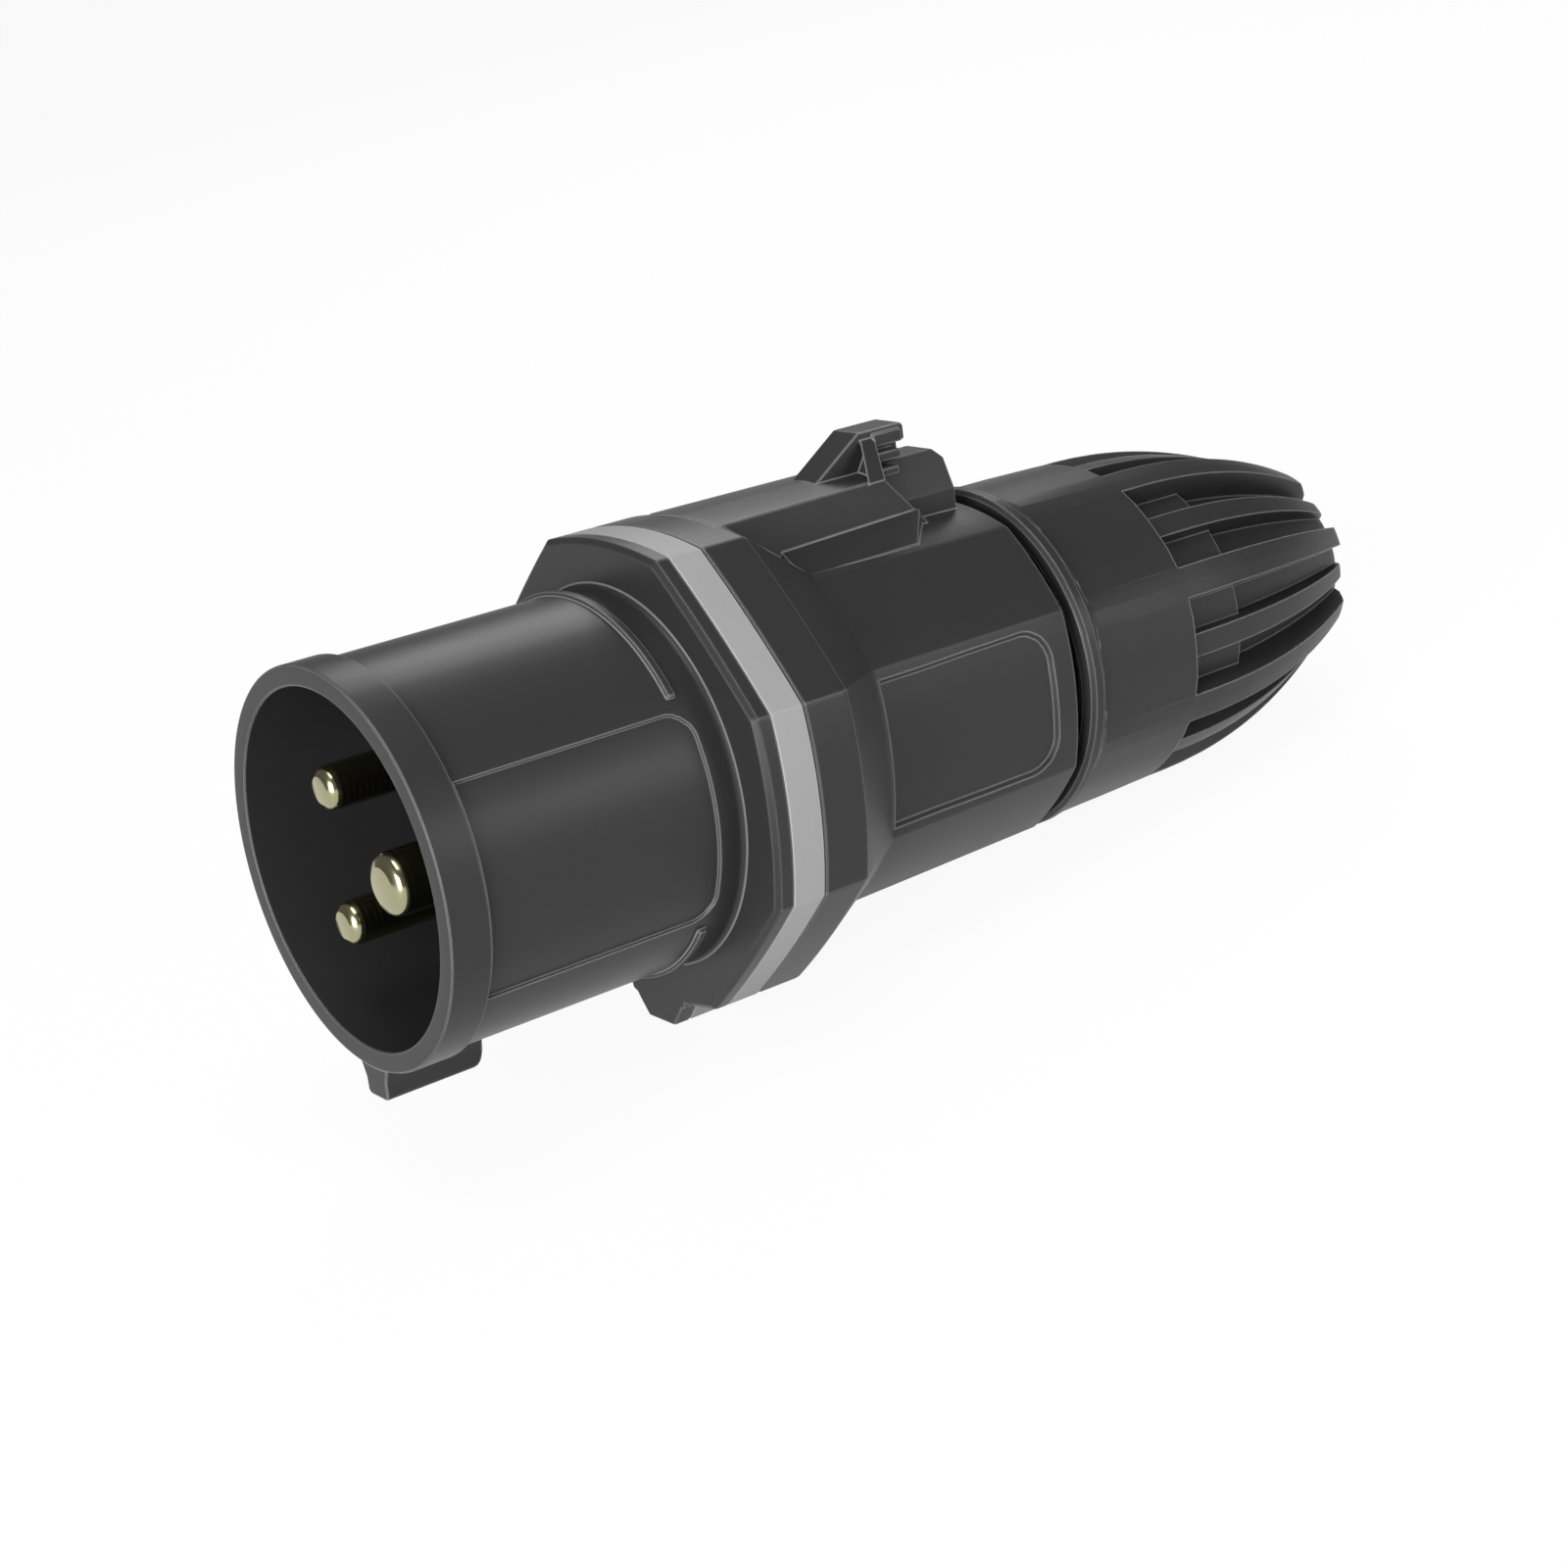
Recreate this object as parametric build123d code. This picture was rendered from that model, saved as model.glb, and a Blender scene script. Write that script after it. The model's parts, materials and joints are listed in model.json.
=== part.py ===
from build123d import *
import math
import os

# Industrial plug for 16 A, two poles and earth, lying as it rests when it is put down.
# It is drawn straight first: the plug's axis is X, the mouth of the shroud is x = 0,
# the cable end is +X, the catch nose is on top (+Z). The last step lays it down.
# All sizes are in millimetres.

# Shroud
SHROUD_BORE_R = 19.93
TUBE_R = 21.7
TUBE_FILLET = 0.45
BAND_R = 22.35
BAND_LENGTH = 4.8
CARRIER_FACE_X = 37.0
SIDE_PANEL_DEPTH = 0.35
SIDE_PANEL_HALF_ANGLE = 31.9
SIDE_PANEL_END_X = 33.8
RIB_X = 32.1
RIB_WIDTH = 1.1
RIB_HEIGHT = 0.55
RIB_HALF_ANGLE = 53.4
KEY_LENGTH = 12.4
KEY_HALF_WIDTH = 2.1
KEY_BOTTOM_Z = -25.9

# Flanges
FLANGE_FRONT_X = 37.0
FRONT_FLANGE_THICK = 2.2
GREY_RING_THICK = 4.3
REAR_FLANGE_THICK = 5.8
FLANGE_CORNER_R = 27.85
FLANGE_FACE_R = 26.9
FLANGE_DIAGONAL_R = 26.1
FLANGE_CHAMFER = 0.6
FLANGE_CORNERS = [22.5 + 45.0 * k for k in range(8)]
SPIGOT_R = 21.9
SPIGOT_END_X = 47.0
LUG_HALF_WIDTH = 3.2
LUG_BOTTOM_Z = -29.6

# Rear housing
BODY_FRONT_X = 57.5
BODY_REAR_X = 86.3
BODY_FRONT_R = 22.2
BODY_REAR_R = 21.5
BODY_CORNERS = [26, 59, 121, 154, 206, 239, 301, 334]
BODY_INNER_R = 18.8
BODY_PANEL_DEPTH = 0.55
NOSE_BLOCK_END_X = 84.5
NECK_R = 17.4
NECK_END_X = 100.0
NECK_BORE_R = 13.2

# Gland nut
NUT_FRONT_X = 88.2
NUT_END_X = 142.0
NUT_RING_R = 21.2
NUT_BARREL_R = 20.95
NUT_SHOULDER_R = 20.45
NUT_FACE_R = 20.35
DOME_START_X = 107.5
SLOT_START_X = 106.5
SLOT_STEP_X = 115.0
LAND_HALF_WIDTH = 1.95
SLOT_RIB_HALF_WIDTH = 1.45
NUT_TIP_R = 11.4
OUTLET_R = 8.0
OUTLET_START_X = 138.0
NUT_CHAMFER_X = 90.0
NUT_BARREL_X = 90.7
THREAD_START_X = 90.8
THREAD_END_X = 104.2
SEAL_CHAMBER_R = 15.9
COUNTERBORE_R = 19.1

# Contacts
PIN_CIRCLE_R = 8.8
LINE_ANGLE = 60.0
EARTH_ANGLE = 180.0
NEUTRAL_ANGLE = 300.0
THIN_PIN_R = 2.5
EARTH_PIN_R = 3.5
PIN_ROOT_X = 35.3
PIN_ROOT_STEP = 0.3
CARRIER_R = 19.85
HUB_R = 18.6
HUB_END_X = 47.0
PLATE_END_X = 50.0
BARREL_END_X = 60.0
SCREW_AXIS_Z = 14.0

# Resting: the plug leans back on the lug and on the swell of the gland nut
REST_TILT = 7.53
FIT = 0.05


def turned(points):
    """A body of revolution about the plug's axis from (x, radius) points."""
    outline = make_face(Polyline(*points, close=True))
    return revolve(outline, Axis.X)


def ring(x0, x1, r_in, r_out):
    """A plain ring about the plug's axis."""
    if r_in == 0:
        return turned([(x0, 0), (x1, 0), (x1, r_out), (x0, r_out)])
    return turned([(x0, r_in), (x1, r_in), (x1, r_out), (x0, r_out)])


def polar(radius, angle):
    """The (y, z) point at a radius and an angle from +Y towards +Z."""
    return (radius * math.cos(math.radians(angle)), radius * math.sin(math.radians(angle)))


def crowned_polygon(x, corners, corner_r, face_radii):
    """A polygon across the axis whose sides are slightly crowned arcs."""
    edges = []
    for k, start in enumerate(corners):
        stop = corners[(k + 1) % len(corners)]
        if stop < start:
            stop += 360.0
        middle = (start + stop) / 2
        edges.append(
            ThreePointArc(
                polar(corner_r, start),
                polar(face_radii[k], middle),
                polar(corner_r, stop),
            )
        )
    return Plane.YZ.offset(x) * make_face(edges)


def flange_section(x, inset=0.0):
    """The flanges' octagon: four crowned sides and four flatter ones between them."""
    faces = [FLANGE_DIAGONAL_R - inset, FLANGE_FACE_R - inset] * 4
    return crowned_polygon(x, FLANGE_CORNERS, FLANGE_CORNER_R - inset, faces)


def flange_plate(x0, x1, inset=0.0):
    """A crowned octagon plate between two stations."""
    return extrude(flange_section(x0, inset), x1 - x0)


def body_section(x, corner_r):
    """The rear housing's section: wide faces at the sides, top and bottom."""
    face_radii = []
    for k, start in enumerate(BODY_CORNERS):
        stop = BODY_CORNERS[(k + 1) % 8]
        span = (stop - start) % 360
        drop = 0.95 if span > 45 else 0.45
        face_radii.append(corner_r - drop)
    return crowned_polygon(x, BODY_CORNERS, corner_r, face_radii)


def across(points, x0, x1):
    """A prism along the axis from (y, z) points."""
    outline = Plane.YZ.offset(x0) * make_face(Polyline(*points, close=True))
    return extrude(outline, x1 - x0)


def along(points, half_width):
    """A prism across the plug from (x, z) side-view points, centred on the axis."""
    outline = Plane.XZ * make_face(Polyline(*points, close=True))
    return extrude(outline, half_width, both=True)


def rod(radius, start, stop, angle=0.0, axis_r=0.0):
    """A round bar parallel to the axis."""
    y, z = polar(axis_r, angle)
    return extrude(Plane.YZ.offset(start) * Pos(y, z) * Circle(radius), stop - start)


def radial_rod(radius, x, inner, outer, angle):
    """A round bar that points away from the axis at an angle."""
    bar = extrude(Plane.XY.offset(inner) * Circle(radius), outer - inner)
    return Pos(x, 0, 0) * Rot(angle - 90.0, 0, 0) * bar


def sector(start, stop, reach):
    """A wedge of angles about the axis, used to limit a feature."""
    steps = max(1, math.ceil((stop - start) / 60.0))
    points = [(0, 0)]
    for k in range(steps + 1):
        points.append(polar(reach, start + (stop - start) * k / steps))
    return points


def lug(x0, x1):
    """The block under a flange with slanted sides."""
    top = -24.0
    shoulder = LUG_BOTTOM_Z + 0.9
    points = [
        (-4.6, top),
        (-4.1, -27.4),
        (-LUG_HALF_WIDTH, shoulder),
        (-LUG_HALF_WIDTH + 0.7, LUG_BOTTOM_Z),
        (LUG_HALF_WIDTH - 0.7, LUG_BOTTOM_Z),
        (LUG_HALF_WIDTH, shoulder),
        (4.1, -27.4),
        (4.6, top),
    ]
    return across(points, x0, x1)


def front_shroud():
    """The round shroud with its key, the front flange and the spigot behind it."""
    flange_back = FLANGE_FRONT_X + FRONT_FLANGE_THICK
    tube = turned([
        (0.0, SHROUD_BORE_R + 0.35),
        (0.35, SHROUD_BORE_R),
        (41.0, SHROUD_BORE_R),
        (41.0, HUB_R + 0.1),
        (43.0, HUB_R + 0.1),
        (43.0, SHROUD_BORE_R),
        (SPIGOT_END_X, SHROUD_BORE_R),
        (SPIGOT_END_X, SPIGOT_R),
        (flange_back - 1.0, SPIGOT_R),
        (flange_back - 1.0, TUBE_R),
        (FLANGE_FRONT_X, TUBE_R + TUBE_FILLET),
        (FLANGE_FRONT_X - TUBE_FILLET, TUBE_R),
        (BAND_LENGTH + 0.35, TUBE_R),
        (BAND_LENGTH, TUBE_R + 0.3),
        (BAND_LENGTH, BAND_R),
        (0.7, BAND_R),
        (0.2, BAND_R - 0.25),
        (0.0, BAND_R - 0.6),
    ])
    front = flange_section(FLANGE_FRONT_X, FLANGE_CHAMFER)
    plate = loft([front, flange_section(FLANGE_FRONT_X + FLANGE_CHAMFER)], ruled=True)
    plate += flange_plate(FLANGE_FRONT_X + FLANGE_CHAMFER, flange_back - 0.35)
    plate += flange_plate(flange_back - 0.35, flange_back, 0.45)
    plate += lug(FLANGE_FRONT_X + 0.6, flange_back + 1.6)
    plate -= ring(FLANGE_FRONT_X - 1, flange_back + 5, 0, TUBE_R)
    shroud = tube + plate
    for side in (0.0, 180.0):
        spread = sector(side - SIDE_PANEL_HALF_ANGLE, side + SIDE_PANEL_HALF_ANGLE, 40.0)
        wedge = across(spread, BAND_LENGTH, SIDE_PANEL_END_X)
        shroud -= wedge & ring(0, 40, TUBE_R - SIDE_PANEL_DEPTH, TUBE_R + 2)
    for middle in (90.0, 270.0):
        spread = sector(middle - RIB_HALF_ANGLE, middle + RIB_HALF_ANGLE, 40.0)
        wedge = across(spread, RIB_X, RIB_X + RIB_WIDTH)
        shroud += wedge & ring(RIB_X, RIB_X + RIB_WIDTH, TUBE_R - 0.5, TUBE_R + RIB_HEIGHT)
    return shroud + key()


def key():
    """The guide key under the mouth, with a rounded rear end."""
    side = [
        (0.0, -20.8),
        (KEY_LENGTH + 0.1, -20.8),
        (KEY_LENGTH, -24.6),
        (KEY_LENGTH - 0.5, -25.5),
        (KEY_LENGTH - 1.3, KEY_BOTTOM_Z),
        (0.3, KEY_BOTTOM_Z),
        (0.0, KEY_BOTTOM_Z + 0.3),
    ]
    flared = [
        (-3.2, -21.2),
        (-2.5, -22.9),
        (-KEY_HALF_WIDTH, -24.0),
        (-KEY_HALF_WIDTH, KEY_BOTTOM_Z + 0.6),
        (-KEY_HALF_WIDTH + 0.6, KEY_BOTTOM_Z),
        (KEY_HALF_WIDTH - 0.6, KEY_BOTTOM_Z),
        (KEY_HALF_WIDTH, KEY_BOTTOM_Z + 0.6),
        (KEY_HALF_WIDTH, -24.0),
        (2.5, -22.9),
        (3.2, -21.2),
    ]
    block = along(side, 6.0) & across(flared, 0.0, KEY_LENGTH + 1)
    return block - ring(-1, KEY_LENGTH + 2, 0, TUBE_R - 0.6)


def grey_ring():
    """The grey ring between the two flanges, with its share of the lug."""
    x0 = FLANGE_FRONT_X + FRONT_FLANGE_THICK
    x1 = x0 + GREY_RING_THICK
    plate = flange_plate(x0, x1)
    plate += lug(x0 + 1.6, x1)
    plate -= ring(x0 - 1, x1 + 1, 0, SPIGOT_R + FIT)
    return plate - lug_seat(x0, x0 + 1.6)


def lug_seat(x0, x1):
    """The notch in the grey ring that takes the back of the front flange's lug."""
    points = [(-5.2, -23.9), (-5.2, -31.0), (5.2, -31.0), (5.2, -23.9)]
    return across(points, x0, x1)


def rear_shell():
    """The outer form of the rear housing before it is hollowed."""
    x0 = FLANGE_FRONT_X + FRONT_FLANGE_THICK + GREY_RING_THICK
    x1 = x0 + REAR_FLANGE_THICK
    edge = flange_section(x1)
    shell = flange_plate(x0, x1)
    shell += loft([edge, body_section(BODY_FRONT_X, BODY_FRONT_R)], ruled=True)
    shell += body_barrel(0.0)
    shell += ring(BODY_REAR_X - 1, NECK_END_X, 0, NECK_R)
    return shell


def body_barrel(inset):
    """The tapering middle of the rear housing, or the same pulled in by an inset."""
    front = body_section(BODY_FRONT_X, BODY_FRONT_R - inset)
    back = body_section(BODY_REAR_X, BODY_REAR_R - inset)
    return loft([front, back], ruled=True)


def side_recess():
    """The shallow field in the side of the rear housing, round at its rear corners."""
    start = BODY_FRONT_X - 0.2
    stop = 83.2
    field = Plane.XZ * Pos((start + stop) / 2, 0) * RectangleRounded(stop - start, 17.2, 3.8)
    front = Plane.XZ * Pos(start + 3, 0) * Rectangle(6, 17.2)
    block = extrude(field + front, 30, both=True)
    return block - body_barrel(BODY_PANEL_DEPTH)


def saddle():
    """The raised back of the housing that carries the catch nose."""
    x0 = FLANGE_FRONT_X + FRONT_FLANGE_THICK + GREY_RING_THICK + 1
    edges = [
        Line((-7.1, 17.5), (-6.4, 26.6)),
        ThreePointArc((-6.4, 26.6), (0, 27.15), (6.4, 26.6)),
        Line((6.4, 26.6), (7.1, 17.5)),
        Line((7.1, 17.5), (-7.1, 17.5)),
    ]
    block = extrude(Plane.YZ.offset(x0) * make_face(edges), 78.4 - x0)
    block -= along([(76.8, 22.2), (75.9, 28.0), (82.0, 28.0), (82.0, 17.0), (77.6, 17.0)], 9.0)
    for side in (-1, 1):
        strip = [(side * 6.4, 22.0), (side * 10.4, 19.3), (side * 8.0, 16.0), (side * 5.0, 16.0)]
        block += across(strip, 56.8, 76.9)
    return block


def catch_nose():
    """The ramped nose with its buttresses and the grip grooves behind it."""
    ramp = along([(65.7, 26.0), (65.7, 26.9), (72.7, 31.65), (74.0, 31.65), (74.0, 26.0)], 2.15)
    head = along([(72.6, 29.6), (72.7, 31.65), (79.0, 31.65), (79.4, 31.3), (79.4, 29.5)], 2.15)
    foot = Pos(74.7, 0, 25.5) * Rectangle(9.4, 13.4)
    top = Pos(75.7, 0, 30.5) * Rectangle(6.0, 4.3)
    column = loft([foot, top])
    pocket = across([(-2.15, 30.2), (-5.0, 26.6), (5.0, 26.6), (2.15, 30.2)], 66.0, 73.0)
    column -= pocket
    column -= Pos(79.4, 0, 28) * Box(8.0, 20, 14)
    back = along([(75.3, 25.0), (75.3, 29.8), (78.8, 29.8), (78.8, 25.0)], 2.2)
    nose = ramp + head + column + back
    for low, high, half in ((29.4, 31.2, 2.9), (27.7, 28.8, 3.3), (26.4, 27.1, 3.9)):
        nose += Pos(76.9, 0, (low + high) / 2) * Box(3.2, 2 * half, high - low)
    return nose


def nose_block():
    """The stepped block that backs the catch nose."""
    points = [
        (-4.2, 17.5),
        (-4.2, 19.6),
        (-4.0, 22.85),
        (-2.15, 27.6),
        (2.15, 27.6),
        (4.0, 22.85),
        (4.2, 19.6),
        (4.2, 17.5),
    ]
    block = across(points, 75.8, NOSE_BLOCK_END_X)
    above = [
        (78.0, 27.8),
        (83.5, 27.3),
        (NOSE_BLOCK_END_X, 22.0),
        (90.0, 22.0),
        (90.0, 35.0),
        (78.0, 35.0),
    ]
    return block - along(above, 9.0)


def rear_housing():
    """The rear half of the body: flange, barrel, saddle, nose and threaded neck."""
    x0 = FLANGE_FRONT_X + FRONT_FLANGE_THICK + GREY_RING_THICK
    shell = rear_shell() + saddle() + catch_nose() + nose_block()
    recess = side_recess()
    shell -= recess
    shell -= ring(x0 - 1, 48.0, 0, SPIGOT_R + FIT)
    shell -= ring(47.0, 83.5, 0, BODY_INNER_R)
    shell -= ring(83.0, NECK_END_X + 1, 0, NECK_BORE_R)
    shell += turned([
        (NECK_END_X - 4.5, NECK_BORE_R + 0.5),
        (NECK_END_X - 4.5, NECK_BORE_R - 1.4),
        (NECK_END_X - 6.5, NECK_BORE_R - 1.4),
        (NECK_END_X - 8.0, NECK_BORE_R + 0.5),
    ])
    for side in (-1, 1):
        boss = rod(3.3, 57.0, 84.0, 90.0 * side, SCREW_AXIS_Z)
        web = across([(-1.2, side * SCREW_AXIS_Z), (1.2, side * SCREW_AXIS_Z),
                      (1.2, side * 19.4), (-1.2, side * 19.4)], 57.0, 84.0)
        shell += boss + web
        shell -= rod(1.75, 56.0, 72.0, 90.0 * side, SCREW_AXIS_Z)
    return shell


def nut_outline():
    """The gland nut's outside as (x, radius): a ring, a barrel and an arc to the tip."""
    dome = ThreePointArc((DOME_START_X, NUT_SHOULDER_R), (126.0, 18.17), (NUT_END_X - 0.7, 12.1))
    thread_r = NECK_R + FIT
    return [
        Line((NUT_FRONT_X, COUNTERBORE_R), (NUT_FRONT_X, NUT_RING_R - 0.5)),
        Line((NUT_FRONT_X, NUT_RING_R - 0.5), (NUT_FRONT_X + 0.5, NUT_RING_R)),
        Line((NUT_FRONT_X + 0.5, NUT_RING_R), (NUT_CHAMFER_X, NUT_RING_R)),
        Line((NUT_CHAMFER_X, NUT_RING_R), (NUT_BARREL_X, NUT_BARREL_R)),
        Line((NUT_BARREL_X, NUT_BARREL_R), (DOME_START_X, NUT_SHOULDER_R)),
        dome,
        Line((NUT_END_X - 0.7, 12.1), (NUT_END_X, NUT_TIP_R)),
        Line((NUT_END_X, NUT_TIP_R), (NUT_END_X, OUTLET_R)),
        Line((NUT_END_X, OUTLET_R), (OUTLET_START_X, OUTLET_R)),
        Line((OUTLET_START_X, OUTLET_R), (107.0, SEAL_CHAMBER_R)),
        Line((107.0, SEAL_CHAMBER_R), (THREAD_END_X, SEAL_CHAMBER_R)),
        Line((THREAD_END_X, SEAL_CHAMBER_R), (THREAD_END_X, thread_r)),
        Line((THREAD_END_X, thread_r), (THREAD_START_X, thread_r)),
        Line((THREAD_START_X, thread_r), (THREAD_START_X, COUNTERBORE_R)),
        Line((THREAD_START_X, COUNTERBORE_R), (NUT_FRONT_X, COUNTERBORE_R)),
    ]


def spokes(count, first_angle, half_width, inner, outer):
    """Flat-sided blades that stand out from the axis at equal angles, as one body."""
    length = NUT_END_X + 2 - SLOT_START_X
    blade = Pos(SLOT_START_X + length / 2 - 1, (inner + outer) / 2, 0)
    blade *= Box(length + 2, outer - inner, 2 * half_width)
    group = [Rot(first_angle + 360.0 * k / count, 0, 0) * blade for k in range(count)]
    return Compound(children=group)


def domed(x0, arc, edge_r):
    """A body of revolution between an edge radius and an arc that follows the dome."""
    first, middle, last = arc
    curve = ThreePointArc(first, middle, last)
    outline = [
        Line((x0, edge_r), (x0, first[1])),
        Line((x0, first[1]), first),
        curve,
        Line(last, (last[0], edge_r)),
        Line((last[0], edge_r), (x0, edge_r)),
    ]
    return revolve(make_face(outline), Axis.X)


def nut_slots():
    """The eight fields: all that is above their floors, less the lands and the ribs."""
    slots = turned([
        (SLOT_START_X, 17.1),
        (SLOT_STEP_X + 0.2, 16.9),
        (SLOT_STEP_X + 0.2, 30.0),
        (SLOT_START_X, 30.0),
    ])
    floor = ((SLOT_STEP_X + 0.2, 16.0), (128.0, 13.9), (NUT_END_X + 1, 9.4))
    slots += domed(SLOT_STEP_X, floor, 30.0)
    rib_top = domed(SLOT_START_X - 1, ((DOME_START_X, 19.6), (126.0, 17.3), (NUT_END_X + 1, 10.0)), 0.0)
    slots -= spokes(8, FLANGE_CORNERS[0], LAND_HALF_WIDTH, 5.0, 31.0)
    return slots - (spokes(8, 0.0, SLOT_RIB_HALF_WIDTH, 5.0, 21.0) & rib_top)


def gland_nut():
    """The nut that closes the cable gland, with eight finned fields round its dome."""
    nut = revolve(make_face(nut_outline()), Axis.X)
    faces = [NUT_FACE_R] * 8
    facets = crowned_polygon(NUT_BARREL_X, FLANGE_CORNERS, NUT_BARREL_R, faces)
    hull = extrude(facets, NUT_END_X + 2 - NUT_BARREL_X)
    hull += ring(NUT_FRONT_X - 1, NUT_BARREL_X, 0, 24.0)
    return (nut & hull) - nut_slots()


def pin(radius, barrel_r, tip_x, angle):
    """A contact pin: domed tip, shoulder in the carrier, and a bored wire barrel."""
    outline = [
        (tip_x, 0),
        (tip_x, radius * 0.55),
        (tip_x + 0.3, radius * 0.78),
        (tip_x + 1.1, radius * 0.97),
        (tip_x + 1.8, radius),
        (PIN_ROOT_X, radius),
        (PIN_ROOT_X, radius + PIN_ROOT_STEP),
        (44.0, radius + PIN_ROOT_STEP),
        (44.0, barrel_r + 0.45),
        (HUB_END_X - FIT, barrel_r + 0.45),
        (HUB_END_X - FIT, barrel_r),
        (BARREL_END_X - 0.4, barrel_r),
        (BARREL_END_X, barrel_r - 0.4),
        (BARREL_END_X, barrel_r - 1.9),
        (49.0, barrel_r - 1.9),
        (48.0, 0),
    ]
    y, z = polar(PIN_CIRCLE_R, angle)
    body = Pos(0, y, z) * Rot(angle, 0, 0) * turned(outline)
    return body - radial_rod(1.75, 55.0, PIN_CIRCLE_R, PIN_CIRCLE_R + 8, angle)


PINS = {
    "line_pin": (THIN_PIN_R, 4.0, 1.7, LINE_ANGLE),
    "neutral_pin": (THIN_PIN_R, 4.0, 1.7, NEUTRAL_ANGLE),
    "earth_pin": (EARTH_PIN_R, 4.6, 0.3, EARTH_ANGLE),
}


def contact_carrier():
    """The moulded disc at the bottom of the shroud that holds the three pins."""
    carrier = ring(CARRIER_FACE_X, 41.0, 0, CARRIER_R) + ring(41.0, HUB_END_X, 0, HUB_R)
    for radius, barrel_r, tip_x, angle in PINS.values():
        carrier += rod(radius + 1.6, PIN_ROOT_X + 0.2, CARRIER_FACE_X, angle, PIN_CIRCLE_R)
        carrier -= rod(radius + PIN_ROOT_STEP + FIT, 30.0, 45.0, angle, PIN_CIRCLE_R)
        carrier -= rod(barrel_r + 0.5, 44.0, 48.0, angle, PIN_CIRCLE_R)
    for side in (-1, 1):
        carrier -= rod(3.6, 36.0, 40.2, 90.0 * side, SCREW_AXIS_Z)
        carrier -= rod(2.0, 36.0, 48.0, 90.0 * side, SCREW_AXIS_Z)
    return carrier - rod(1.5, 42.0, 48.0)


def pin_retainer_plate():
    """The plate behind the carrier that stops the pins from being pushed out."""
    plate = ring(HUB_END_X, PLATE_END_X, 0, 17.6)
    for radius, barrel_r, tip_x, angle in PINS.values():
        plate -= rod(barrel_r + FIT, 46.0, 51.0, angle, PIN_CIRCLE_R)
    for side in (-1, 1):
        plate -= rod(2.0, 46.0, 51.0, 90.0 * side, SCREW_AXIS_Z)
    return plate - rod(1.6, 46.0, 51.0)


def pan_screw(shank_r, head_r, head_h, length):
    """A screw with a cross recess, head top at z = head_h, shank down from z = 0."""
    shank = extrude(Plane.XY.offset(-length) * Circle(shank_r), length)
    head = extrude(Circle(head_r), head_h)
    head = chamfer(head.edges().filter_by(GeomType.CIRCLE).sort_by(Axis.Z)[-1], head_h * 0.3)
    for turn in (0, 90):
        head -= Pos(0, 0, head_h) * Rot(0, 0, turn) * Box(head_r * 1.1, 0.7, head_h * 0.9)
    return head + shank


def assembly_screws():
    """Two long screws that draw the carrier, flanges and rear housing together."""
    group = []
    for side in (-1, 1):
        screw = pan_screw(1.7, 3.0, 1.9, 29.0)
        placed = Pos(39.6, 0, side * SCREW_AXIS_Z) * Rot(0, -90, 0) * screw
        group.append(placed.solids()[0])
    return Compound(children=group)


def screw_washers():
    """Washers under the heads of the two long screws."""
    group = []
    for side in (-1, 1):
        washer = rod(3.4, 39.6, 40.2, 90.0 * side, SCREW_AXIS_Z)
        washer -= rod(1.85, 39.0, 41.0, 90.0 * side, SCREW_AXIS_Z)
        group.append(washer.solids()[0])
    return Compound(children=group)


def retainer_screw():
    """The screw that holds the retainer plate on the carrier."""
    screw = pan_screw(1.45, 2.8, 1.8, 7.5)
    return Pos(PLATE_END_X, 0, 0) * Rot(0, 90, 0) * screw


def terminal_screws():
    """One clamping screw in the side of each pin's wire barrel."""
    group = []
    for radius, barrel_r, tip_x, angle in PINS.values():
        screw = pan_screw(1.7, 2.7, 1.7, barrel_r - 0.9)
        seat = PIN_CIRCLE_R + barrel_r + 0.3
        placed = Pos(55.0, 0, 0) * Rot(angle - 90.0, 0, 0) * Pos(0, 0, seat) * screw
        group.append(placed.solids()[0])
    return Compound(children=group)


def wire_guards():
    """The thin leaf in each barrel that spreads the screw's load on the strands."""
    group = []
    for radius, barrel_r, tip_x, angle in PINS.values():
        leaf = Pos(0, 0, PIN_CIRCLE_R + 0.9) * Box(8.0, 2.6, 0.4)
        placed = Pos(55.5, 0, 0) * Rot(angle - 90.0, 0, 0) * leaf
        group.append(placed.solids()[0])
    return Compound(children=group)


def clamp_cage():
    """The cage of eight spring fingers that the nut presses on the cable."""
    cage = turned([
        (95.6, 9.6),
        (119.0, 9.6),
        (119.0, 11.5),
        (107.0, 14.4),
        (101.6, 14.6),
        (101.6, 16.6),
        (NECK_END_X, 16.6),
        (NECK_END_X, NECK_BORE_R - 0.1),
        (95.6, NECK_BORE_R - 0.1),
    ])
    for k in range(4):
        cage -= Rot(22.5 + 45.0 * k, 0, 0) * Pos(112.0, 0, 0) * Box(18.0, 40.0, 1.4)
    return cage


def gland_parts():
    """The loose rings of the cable gland."""
    return {
        "thrust_washer": ring(103.0, 104.1, 15.2, 17.3),
        "cable_seal": turned([(96.4, 5.6), (117.0, 5.6), (117.0, 9.2), (116.0, 9.5), (96.4, 9.5)]),
        "seal_core": turned([(97.5, 4.0), (116.2, 4.0), (116.2, 5.55), (97.5, 5.55)]),
        "neck_seal": turned([(86.35, 17.43), (88.1, 17.43), (88.1, 18.5), (87.6, 18.9), (86.35, 18.9)]),
        "housing_seal": ring(SPIGOT_END_X + 0.02, 47.98, 19.95, SPIGOT_R - 0.05),
    }


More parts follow.
